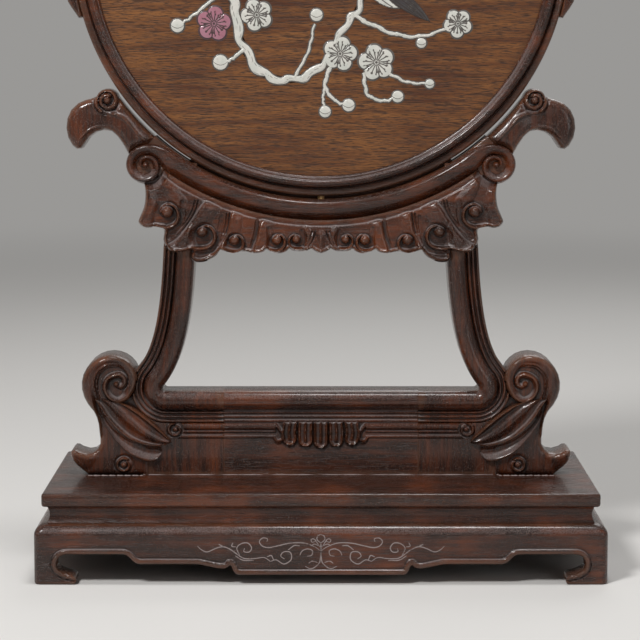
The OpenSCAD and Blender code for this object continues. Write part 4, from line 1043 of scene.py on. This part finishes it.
class TABLESCREEN_OT_lotus_apron(bpy.types.Operator):
    """The carved lotus-leaf apron under the cradle: lobes, pleats, curls with ball eyes and a middle bud"""

    bl_idname = "table_screen.lotus_apron"
    bl_label = "Carved Apron"

    def execute(self, context):
        s, curl_f = sizes(), 12.5
        curls = [([71.6, 165.1], 5.2, [0.3, 2.0], 2.9, 1), ([54.4, 155.2], 5.0, [1.2, 2.5], 2.6, 1),
                 ([40.2, 151.9], 4.0, [0.3, 1.9], 2.5, 1), ([20.2, 152.5], 3.5, [0.4, 1.4], 2.4, 1),
                 ([12.0, 152.9], 3.1, [-0.5, 1.3], 2.0, -1)]
        turns = np.array([[30, 0.72], [60, 0.92], [105, 1.04], [166, 0.95], [232, 0.95], [281, 1.08], [316, 1.42]])
        rings = [coil(c, np.stack([90 + (turns[:, 0] - 90) * way, r * turns[:, 1]], 1), 8)
                 for c, r, _, _, way in curls]
        crests = [(through(p, 8), *w) for p, *w in (
            ([[51, 173], [54.8, 168.6], [57.8, 163.6], [62.0, 157.4], [65.8, 153], [69.9, 150]], 2.2, 7.5, 2.6),
            ([[40.2, 168], [41.4, 163], [42.4, 158], [44, 153.5], [46.8, 149]], 1.8, 5.5, 1.9),
            ([[26.6, 164], [27.7, 160], [28.7, 154.7], [31, 149.4]], 1.7, 6.0, 2.0),
            ([[72.4, 182], [69.9, 176.3], [66.6, 171]], 3.4, 4.0, 1.6),
            ([[7.0, 159], [5.4, 155], [6.6, 149.6]], 1.4, 2.4, 1.2),
            ([[82.6, 178], [80.6, 172], [81.6, 166], [84.6, 162]], 2.6, 5.0, 1.6))]
        valleys = [(through(p, 8), *w) for p, *w in (
            ([[64.6, 171.5], [65.0, 165.5], [67.2, 160.4], [70.6, 155.6]], 2.0, 1.5),
            ([[46.4, 164.5], [47.2, 159], [48.6, 153.6], [51, 149.4]], 1.7, 1.2),
            ([[29.8, 162.6], [30.6, 156.3], [32.4, 149.6]], 1.3, 1.2),
            ([[59.6, 161.5], [60.2, 157], [61.4, 152.5]], 1.8, 1.0),
            ([[60.4, 148.4], [56.4, 147.4], [51.4, 148.2], [48.4, 150.4]], 0.8, 1.0),
            ([[9.0, 158], [8.4, 154], [9.4, 149.6]], 1.5, 1.0),
            ([[24.6, 159.4], [24.2, 154], [24.4, 149.4]], 1.3, 0.8))]
        cuts = [through(p, 8) for p in (
            [[57.4, 172.4], [58.6, 167.6], [61.1, 163.0], [65, 157.8]],
            [[58.9, 172.4], [60.1, 167.8], [62.6, 163.2], [66.5, 158.2]],
            [[42.6, 166.4], [43.2, 161], [44.4, 156.6]], [[44.0, 166.2], [44.6, 161], [45.8, 156.8]],
            [[2.6, 157.8], [3.6, 154], [5.6, 150.4]], [[4.0, 157.8], [5.2, 154], [7.0, 150.6]])]

        def front(p, d):
            q = fold(p)
            far = away(q, [0, s.disc_z]) - s.cradle_out
            bed = 9.2 + 4.0 * eased(rise(far, 0, 3.6))
            fade = rise(far, 0.4, 5.4)
            bed = bed + fade * sum(ridge(q, path, a, b, h, (0.8, 1.1)) for path, a, b, h in crests)
            bed = bed + sum(groove(q, path, w, h, (0.8, 1.1)) for path, w, h in valleys)
            bed = bed + sum(groove(q, path, 0.5, 0.7, (1, 0.8)) for path in cuts)
            bed = bed + 1.5 * rise(q[:, 0], 2.4, 0) * rise(far, 4, 8)
            for *hole, w in ((76.6, 162.2, 2.8), (68.4, 151.6, 2.6), (35.2, 149.6, 2.0)):
                bed = bed - 1.2 * bell(away(q, hole) / w)
            for (centre, r, knob, size, _), ring in zip(curls, rings):
                hold = eased(rise(away(q, centre) / r, 1.55, 0.85))
                bed = bed * (1 - hold) + curl_f * hold
                crest = ridge(q, ring, 0.22 * r, 0.27 * r, 2.7 + r * 0.1, (0.55, 1.0), 0.9)
                ball = dome(q, np.array(centre) + knob, size, 1.4 + 0.9 * size)
                bed = np.maximum(bed, curl_f + np.maximum(crest, ball - 0.1))
            bed = bed - 6 * rise(away(q, VOLUTE_EYE) / 9, 1.35, 0.95)
            lip = 0.9 * bell((d - 1.1) / 0.55) * rise(far, 9, 13)
            return bed + lip - drop(d, 1.5) * rise(far, 0, 3)

        def back(p, d):
            # Where the posts pass behind, the board is thin
            on_post = (np.abs(np.abs(p[:, 0]) - 67.2) < 14) & (p[:, 1] < 151)
            return np.where(on_post, 12.6, 6.0) + drop(d, 1.0) * 0.3

        edge = [through(p, 8) for p in (
            [[0, 147.4], [2.4, 148.1], [4.5, 149.5]], [[4.5, 149.5], [7.6, 148.4], [12.8, 148.5], [14.8, 149.6]],
            [[14.8, 149.6], [16.4, 148.2], [19.4, 147.3], [23.1, 148], [25.7, 149.4]],
            [[25.7, 149.4], [27.4, 148], [31.5, 147.5], [36.6, 148.2], [40.8, 147.7], [44.9, 148.5], [47.2, 149.2]],
            [[47.2, 149.2], [49.3, 146.2], [53.2, 144], [56.6, 143.3], [59.2, 143.7], [61, 145.6], [60.2, 149.2]],
            [[60.2, 149.2], [64.7, 148.2], [69.3, 148.2], [72.4, 150.3], [73.8, 153.6], [73.4, 157.4], [74, 159.4]],
            [[74, 159.4], [77.6, 160], [80.4, 159.3], [83.4, 160], [85.3, 162.3], [84.5, 165], [82.6, 170], [82, 176.4],
             [83.4, 181]])]
        half = rounds(*edge, [[80, 186]], arc([0, s.disc_z], s.cradle_out, 307, 270, 60))
        shell = carve(loop(rounds(half, mirrored(half))), steps((-88, 88, FINE)), steps((141, 189, 0.34)), front, back)
        wooden("lotus_apron", [shell], ["carved_apron"], "x", 9)
        return {"FINISHED"}


# Pieces of the screen

def ring_profile():
    """Section of the moulded ring as radius and depth: fillet, a bead with two cut lines, a groove and a flat band."""
    r = sizes().sight_r
    turn = np.radians(np.linspace(170, 10, 27))
    lines = sum(0.28 * bell((np.degrees(turn) - c) / 5) for c in (122, 58))
    bead = np.stack([r + 3.3 + 2.15 * np.cos(turn), -6.2 - 3.2 * np.sin(turn) + lines], 1)
    front = [[r, -3.9], [r, -4.8], [r + 0.2, -5.6], [r + 0.6, -6.1], [r + 0.95, -6.2]]
    band = [[r + 5.55, -5.8], [r + 5.8, -5.4], [r + 6.05, -5.6], [r + 6.25, -6.1], [r + 6.7, -6.35], [r + 8.4, -6.3],
            [r + 9.1, -6.0], [r + 9.5, -5.4], [r + 9.6, -4.8]]
    back = [[r + 9.6, 8.0], [r + 9.2, 9.1], [r + 8.1, 9.5], [r - 1.0, 9.5], [r - 1.5, 9.0], [r - 1.5, 2.1],
            [r + 0.4, 2.0]]
    return np.vstack([front, bead, band, back])


class TABLESCREEN_OT_ring(bpy.types.Operator):
    """The moulded ring in two halves, the lower one with the tongue that sits in the cradle"""

    bl_idname = "table_screen.ring"
    bl_label = "Moulded Ring"

    def execute(self, context):
        s = sizes()
        t0, t1, centre, gap = s.ring_r - 1, s.ring_r + 2.8, [0, s.disc_z], 0.015
        tongue = np.array([[t0, -0.5], [t1 - 0.3, -0.5], [t1, -0.2], [t1, 6.2], [t1 - 0.3, 6.5], [t0, 6.5]])
        upper, lower = (skin(turned(ring_profile(), np.linspace(a + gap, a + 180 - gap, 220), centre))
                        for a in (0, 180))
        lower = [lower, skin(turned(tongue, np.linspace(238, 302, 60), centre))]
        for half, shells in (("lower", lower), ("upper", [upper])):
            wooden("moulded_ring_" + half, shells, ["ring_" + half], "x", 4, "screen")
        return {"FINISHED"}


class TABLESCREEN_OT_ears(bpy.types.Operator):
    """The small ruyi scrolls on the ring's sides"""

    bl_idname = "table_screen.ears"
    bl_label = "Side Scrolls"

    def execute(self, context):
        s = sizes()
        centre, r, half_t, edge = np.array([0, s.disc_z]), s.ring_r, 6.0, 1.6
        spiral = np.array([[-90, 1.9], [0, 1.7], [90, 1.5], [180, 1.1], [270, 0.7]])
        curls = [coil(arc(centre, r + 2.7, k * 11.2, k * 11.2, 1)[0], spiral * [k, 1] + [90, 0], 6) for k in (-1, 1)]
        ribs = [coil(centre, [[k * 2.72, r + 1.4], [k * 2.9, r + 3.2], [k * 3.0, r + 5.4]], 6) for k in range(-2, 3)]

        def front(p, d):
            body = half_t - drop(d, edge) + sum(ridge(p, path, 0.8, 0.8, 0.9, (1, 0.7)) for path in ribs)
            return body + sum(ridge(p, path, 0.55, 0.55, 0.9, (1, 0.8)) for path in curls)

        ear = carve(section("ear_right", 0.0), steps((110, 123.6, 0.28)), steps((s.disc_z - 34, s.disc_z + 34, 0.4)),
                    front, lambda p, d: -half_t + drop(d, edge))
        pair("side_scroll", "ear", [ear], 6, "screen")
        return {"FINISHED"}


# The panel's front; the filler round the shell, above it, and the shell's underside, in the panel
PANEL_F = 4.1
FILLER, UNDERSIDE = PANEL_F + 0.05, PANEL_F - 1.0
# Blossoms as place, size and turn; buds as place and size; branches as places and the width at both ends
BLOSSOMS = [[-50, -35, 8.2, 10], [-30, -31, 7.6, 40], [9, -49, 8.2, 5], [26, -53, 8.6, 30], [64, -35, 6.8, 50],
            [34, 16, 8.2, 12], [-46, 18, 7.8, 22], [8, 38, 8, 66]]
BUDS = [[-2, -31, 3], [-47, -53, 3.6], [-67, -36, 3.2], [2, -76, 2.8], [13, -73, 3], [36, -69, 2.8], [51, -63, 2.2],
        [47, -44, 2.4], [-62, 36, 2.7], [30, 50, 2.8], [53, 30, 2.5]]
BRANCHES = [
    ([[-76, 8], [-62, -8], [-42, -22], [-38, -42], [-27, -58], [-14, -61], [0, -55], [10, -38], [18, -27], [22, -10],
      [22, 8], [15, 22], [10, 33]], 4.4, 1.6),
    ([[-13, -61], [-6, -48], [-3, -35]], 1.4, 0.9), ([[-35, -46], [-41, -51], [-45, -53]], 1.6, 1),
    ([[-46, -20], [-58, -30], [-65, -35]], 1.5, 0.9), ([[5, -53], [2, -64], [7, -71], [12, -73]], 1.8, 1),
    ([[2, -64], [1, -70], [2, -75]], 1.2, 0.9), ([[20, -58], [22, -68], [30, -71], [35, -69]], 1.6, 1),
    ([[30, -57], [40, -62], [50, -63]], 1.4, 0.9), ([[15, -31], [32, -39], [46, -41], [60, -37]], 1.8, 1.1),
    ([[22, 2], [34, 14], [44, 26], [52, 30]], 1.5, 0.9), ([[-62, -8], [-56, 8], [-48, 16]], 1.6, 1.1),
    ([[-57, 6], [-61, 20], [-62, 34]], 1.3, 0.9), ([[11, 39], [21, 46], [29, 50]], 1.3, 0.9)]


def blossom(x, z, size, turn):
    """A five-petalled blossom and its engraving, on a polar grid, with dark filler round it.

    The outline is the far side of five circles set round the middle. The surface is a low dome with a crease
    between petals; ink marks the rim, the creases, and stamens some degrees apart that end in dots."""
    petal, apart = 2 * math.pi / 5, 24
    a = np.radians(np.linspace(0, 360, 241)[:-1])
    lean = (a + petal / 2) % petal - petal / 2
    edge = size * (0.55 * np.cos(lean) + np.sqrt(0.45 ** 2 - (0.55 * np.sin(lean)) ** 2))
    share = np.concatenate([[0.03], np.linspace(0.07, 0.94, 26), [0.97, 1.0, 1.0, 1.0]])[:, None]
    r = share * edge
    r[-2:] += 0.6
    crease = bell((np.abs(lean) - petal / 2) * r / 0.35) * np.clip((share - 0.3) * 4, 0, 1)
    high = PANEL_F + sizes().shell_rise * (0.75 + 0.5 * np.sin(np.pi * share ** 1.5)) - 0.25 * crease
    high[-3:] = [[PANEL_F + 0.12], [FILLER], [UNDERSIDE]]
    beam = np.radians(np.abs((np.degrees(a) + apart / 2) % apart - apart / 2)) * r
    reach = 0.62 + 0.08 * np.sin(np.degrees(a) // apart * 2.4)
    stamen = bell(beam / 0.30) * (share > 0.12) * (share * edge / size < reach)
    dot = np.exp(-((beam / 0.65) ** 2 + ((r / size - reach) / 0.06) ** 2))
    ink = np.clip(stamen * 0.9 + dot + crease * 0.8 + (share > 0.955) * 0.9 + (share < 0.10) * 0.8, 0, 1)
    way = a + math.radians(turn)
    ring = np.stack([x + r * np.cos(way), -high, sizes().disc_z + z + r * np.sin(way)], -1)
    return skin(ring), np.concatenate([ink.ravel(), [0.8, 0]])


def bud(x, z, size):
    """A round bud on a polar grid: a dome with an inked rim and a curved line across it, and filler round it."""
    a = np.radians(np.linspace(0, 360, 73)[:-1])
    share = np.concatenate([[0.04], np.linspace(0.12, 0.92, 10), [0.97, 1.0, 1.0, 1.0]])[:, None]
    r = size * share * np.ones_like(a)
    r[-2:] += 0.5
    high = PANEL_F + 0.12 + 1.2 * sizes().shell_rise * bow(share) * np.ones_like(a)
    high[-2:] = [[FILLER], [UNDERSIDE]]
    p = np.stack([r * np.cos(a), r * np.sin(a)], -1)
    line = bell((p[..., 1] + 0.35 * size - 0.5 * p[..., 0] ** 2 / size) / 0.22)
    ink = np.clip((share > 0.94) * 0.9 + line * 0.8, 0, 1)
    ring = np.stack([x + p[..., 0], -high, sizes().disc_z + z + p[..., 1]], -1)
    return skin(ring), np.concatenate([ink.ravel(), [0, 0]])


def branch(points, w0, w1):
    """A knotty branch: a low half round along a curve, narrowing, with filler beside it.

    The curve sways and the width swells in sine waves; ink marks bark lines, the edges and the filler."""
    path = through(points, 14) + [0, sizes().disc_z]
    t, n = np.linspace(0, 1, len(path))[:, None], len(points)
    path = path + 0.16 * w0 * np.concatenate([np.sin(9 * n * t), np.cos(7 * n * t)], 1)
    knots = 1 + 0.22 * np.sin(61 * t + w0) * np.sin(17 * t) + 0.12 * np.sin(143 * t)
    w = (w0 + (w1 - w0) * t) / 2 * knots
    turn, even = np.radians(np.linspace(0, 180, 11)), np.ones_like(t)
    top = np.stack([w * np.cos(turn), (PANEL_F + 0.08 + 0.34 * np.sin(turn)) * even], -1)
    rim = [np.stack([way * (w + 0.5), level * even], -1)
           for way, level in ((1, FILLER), (-1, FILLER), (-1, UNDERSIDE), (1, UNDERSIDE))]
    bark = (np.abs(np.sin(t * 47 + turn * 1.7 + w0)) > 0.97) * 0.6 + (np.abs(np.cos(turn)) > 0.97) * 0.9 * even
    ink = np.concatenate([even, np.clip(bark, 0, 1), even, even, even], 1)
    return skin(swept(path, np.concatenate([rim[0], top, *rim[1:]], 1))), np.concatenate([ink.ravel(), [0, 0]])


def plumage(node, quills):
    """A part of the bird from its solid's outline: a low dome, with inked rim and quills."""
    s, segments = sizes(), section(node, -3.5)
    grid = [steps((a, b, 0.3)) for a, b in zip(segments.min((0, 1)) - 0.5, segments.max((0, 1)) + 0.5)]
    inks = []

    def top(p, d):
        lines = sum(bell(along(p - [0, s.disc_z], path, 3)[0] / 0.26) for path in quills)
        inks.append(np.clip(lines + (d < 0.42), 0, 1))
        return PANEL_F + 0.15 + s.shell_rise * np.sqrt(rise(d, 0, 3)) - 0.1 * np.minimum(lines, 1)

    shell = carve(segments, *grid, top, lambda p, d: np.full(len(p), UNDERSIDE))
    return shell, np.concatenate([inks[0], np.zeros(len(inks[0]))])


class TABLESCREEN_OT_inlay(bpy.types.Operator):
    """Shell inlay on the disc: plum branches, blossoms, buds and a bird"""

    bl_idname = "table_screen.inlay"
    bl_label = "Shell Inlay"

    def execute(self, context):
        casts = {"shell_white": (0.52, 0.55, 0.50, 1.0), "shell_pink": (0.42, 0.22, 0.28, 1.0),
                 "shell_dark": (0.06, 0.055, 0.06, 1.0)}
        c, s = math.cos(math.radians(-26)), math.sin(math.radians(-26))
        down, plumes = ([bezier(*q) @ np.array([[c, s], [-s, c]]) + [31, -21] for q in part] for part in (
            (([-8, -1], [-4, -3], [0, -4.4], [5, -4.6]), ([-9, 3], [-6, 1], [-4, -1], [-3, -3]),
             ([-13.2, 6.4], [-12.4, 7], [-11.8, 6.4], [-12.4, 5.8]), ([-15, 4.6], [-16, 4.5], [-18, 4.4], [-19, 4.4])),
            (([-4, 2.2], [5, 3.4], [12, 1.4], [21, -2.4]), ([-3, 1], [5, 1.2], [12, -0.6], [20, -3]),
             ([-1, -0.4], [5, -1.2], [11, -2.6], [18, -3.4]))))
        for name, node, shade, slot, parts in (
                ("plum_branches", "inlay_branches", "shell_white", "shell", [branch(*b) for b in BRANCHES]),
                ("plum_blossoms", "inlay_blossoms", "shell_white", "shell", [blossom(*b) for b in BLOSSOMS[1:]]),
                ("plum_blossom_pink", "inlay_pink_blossom", "shell_pink", "pink_shell", [blossom(*BLOSSOMS[0])]),
                ("plum_buds", "inlay_buds", "shell_white", "shell", [bud(*b) for b in BUDS]),
                ("bird_body", "inlay_bird_body", "shell_white", "shell", [plumage("inlay_bird_body", down)]),
                ("bird_wing", "inlay_bird_wings", "shell_dark", "dark_shell", [plumage("inlay_bird_wings", plumes)])):
            shells, inks = zip(*parts)
            piece(name, shells, [node], finish(shade, pearl, shade, casts[shade]), "screen", sharp=60,
                  marks=np.concatenate(inks))
        return {"FINISHED"}


class TABLESCREEN_OT_solids(bpy.types.Operator):
    """Finishes for the solids that are shown as they are: waist, panel, peg and hidden joinery"""

    bl_idname = "table_screen.solids"
    bl_label = "Kept Solids"

    def execute(self, context):
        finishes = {"screen_panel": finish("disc_wood", panel_wood), "locating_peg": finish("peg_bamboo", peg_bamboo)}
        for side, grain in (("front", "x"), ("back", "x"), ("left", "y"), ("right", "y")):
            finishes["base_waist_" + side] = finish("hardwood_" + grain, hardwood, grain)
        for node in ("corner_blocks", "bracket_dowels", "wing_dowels", "ring_keys"):
            finishes[node] = finish("joinery_wood", hidden_wood)
        for node, material in finishes.items():
            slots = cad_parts[node].data.materials
            slots.clear()
            slots.append(material)
        return {"FINISHED"}


class TABLESCREEN_OT_stage(bpy.types.Operator):
    """The pale floor, soft studio lamps, the world and the camera at the photograph's angle"""

    bl_idname = "table_screen.stage"
    bl_label = "Studio Stage"

    def execute(self, context):
        ring = np.linspace(0, 2 * np.pi, 97)[:-1]
        reach = np.array([0.01, 400, 1500, 6000])[:, None]
        flat = np.stack([reach * np.cos(ring), reach * np.sin(ring), np.zeros((len(reach), len(ring)))], -1)
        number = np.arange(flat.shape[0] * flat.shape[1]).reshape(flat.shape[:2])
        a, b = number[:-1], number[1:]
        faces = np.stack([a, b, np.roll(b, -1, 1), np.roll(a, -1, 1)], -1).reshape(-1, 4)
        mesh = bpy.data.meshes.new("studio_floor")
        mesh.from_pydata(flat.reshape(-1, 3) * MM, [], faces.tolist())
        mesh.materials.append(finish("studio_floor", studio_floor))
        floor = bpy.data.objects.new("studio_floor", mesh)
        context.collection.objects.link(floor)
        for name, place, aim, size, power in (
                ("key_lamp", (-0.55, -0.85, 1.10), (0, 0, 0.14), 0.3, 13.5),
                ("top_lamp", (0.1, -0.15, 1.35), (0, 0, 0.14), 0.34, 5.6),
                ("front_fill", (0.85, -1.25, 0.45), (0, 0, 0.15), 0.8, 2.0),
                ("back_lamp", (0.3, 1.1, 1.0), (0, 0, 0.2), 0.9, 4.0)):
            lamp = bpy.data.lights.new(name, "AREA")
            lamp.shape, lamp.size, lamp.energy = "DISK", size, power
            lit = bpy.data.objects.new(name, lamp)
            context.collection.objects.link(lit)
            lit.location = place
            away = np.array(place) - aim
            flat_away = math.hypot(away[0], away[1])
            lit.rotation_euler = (math.atan2(flat_away, away[2]), 0, math.atan2(away[0], -away[1]))
        world = context.scene.world or bpy.data.worlds.new("studio")
        context.scene.world = world
        world.use_nodes = True
        wire = Wire(world.node_tree)
        path = [wire.node("ShaderNodeLightPath", None, None, key)
                for key in ("Is Camera Ray", "Is Glossy Ray", "Is Transmission Ray")]
        shown = wire.node("ShaderNodeClamp", None, {0: path[0] + path[1] + path[2]})
        strength = shown * BACKGROUND + (1.0 - shown) * FILL_LIGHT
        wire.connect(world.node_tree.nodes["Background"], {"Color": tint("floor"), "Strength": strength})
        context.scene.view_settings.view_transform = "Standard"
        # Lens, distance, height and tilt are fitted to the photograph
        lens = bpy.data.cameras.new("photo_camera")
        lens.lens, lens.sensor_width = 132.4, 36.0
        camera = bpy.data.objects.new("photo_camera", lens)
        context.collection.objects.link(camera)
        camera.location = (-0.00042, -1.1125, 0.2454)
        camera.rotation_euler = (math.radians(90 - 6.711), 0, 0)
        context.scene.camera = camera
        return {"FINISHED"}


OPERATORS = (TABLESCREEN_OT_aprons, TABLESCREEN_OT_scrollwork, TABLESCREEN_OT_top_board, TABLESCREEN_OT_lower_rail,
             TABLESCREEN_OT_side_posts, TABLESCREEN_OT_brackets, TABLESCREEN_OT_cradle, TABLESCREEN_OT_wings,
             TABLESCREEN_OT_lotus_apron, TABLESCREEN_OT_ring, TABLESCREEN_OT_ears, TABLESCREEN_OT_inlay,
             TABLESCREEN_OT_solids, TABLESCREEN_OT_stage)


class TABLESCREEN_PT_panel(bpy.types.Panel):
    """The settings, and the operators in the order in which they are used"""

    bl_label = "Table Screen"
    bl_idname = "TABLESCREEN_PT_panel"
    bl_space_type = "VIEW_3D"
    bl_region_type = "UI"
    bl_category = "Table Screen"

    def draw(self, context):
        for operator in OPERATORS:
            self.layout.operator(operator.bl_idname)
        for group in (context.scene.table_screen_sizes, context.scene.table_screen_colours):
            box = self.layout.box()
            for key in type(group).__annotations__:
                box.prop(group, key)


CLASSES = (ScreenSizes, ScreenColours, *OPERATORS, TABLESCREEN_PT_panel)


def register():
    """Registers the classes and puts the settings on the scene."""
    for item in CLASSES:
        bpy.utils.register_class(item)
    bpy.types.Scene.table_screen_sizes = PointerProperty(type=ScreenSizes)
    bpy.types.Scene.table_screen_colours = PointerProperty(type=ScreenColours)


def unregister():
    """Takes the settings and the classes away again."""
    del bpy.types.Scene.table_screen_sizes, bpy.types.Scene.table_screen_colours
    for item in reversed(CLASSES):
        bpy.utils.unregister_class(item)


def main():
    """Builds the whole screen with its stage, in metres."""
    register()
    for operator in OPERATORS:
        group, name = operator.bl_idname.split(".")
        getattr(getattr(bpy.ops, group), name)()


if __name__ == "__main__":
    main()
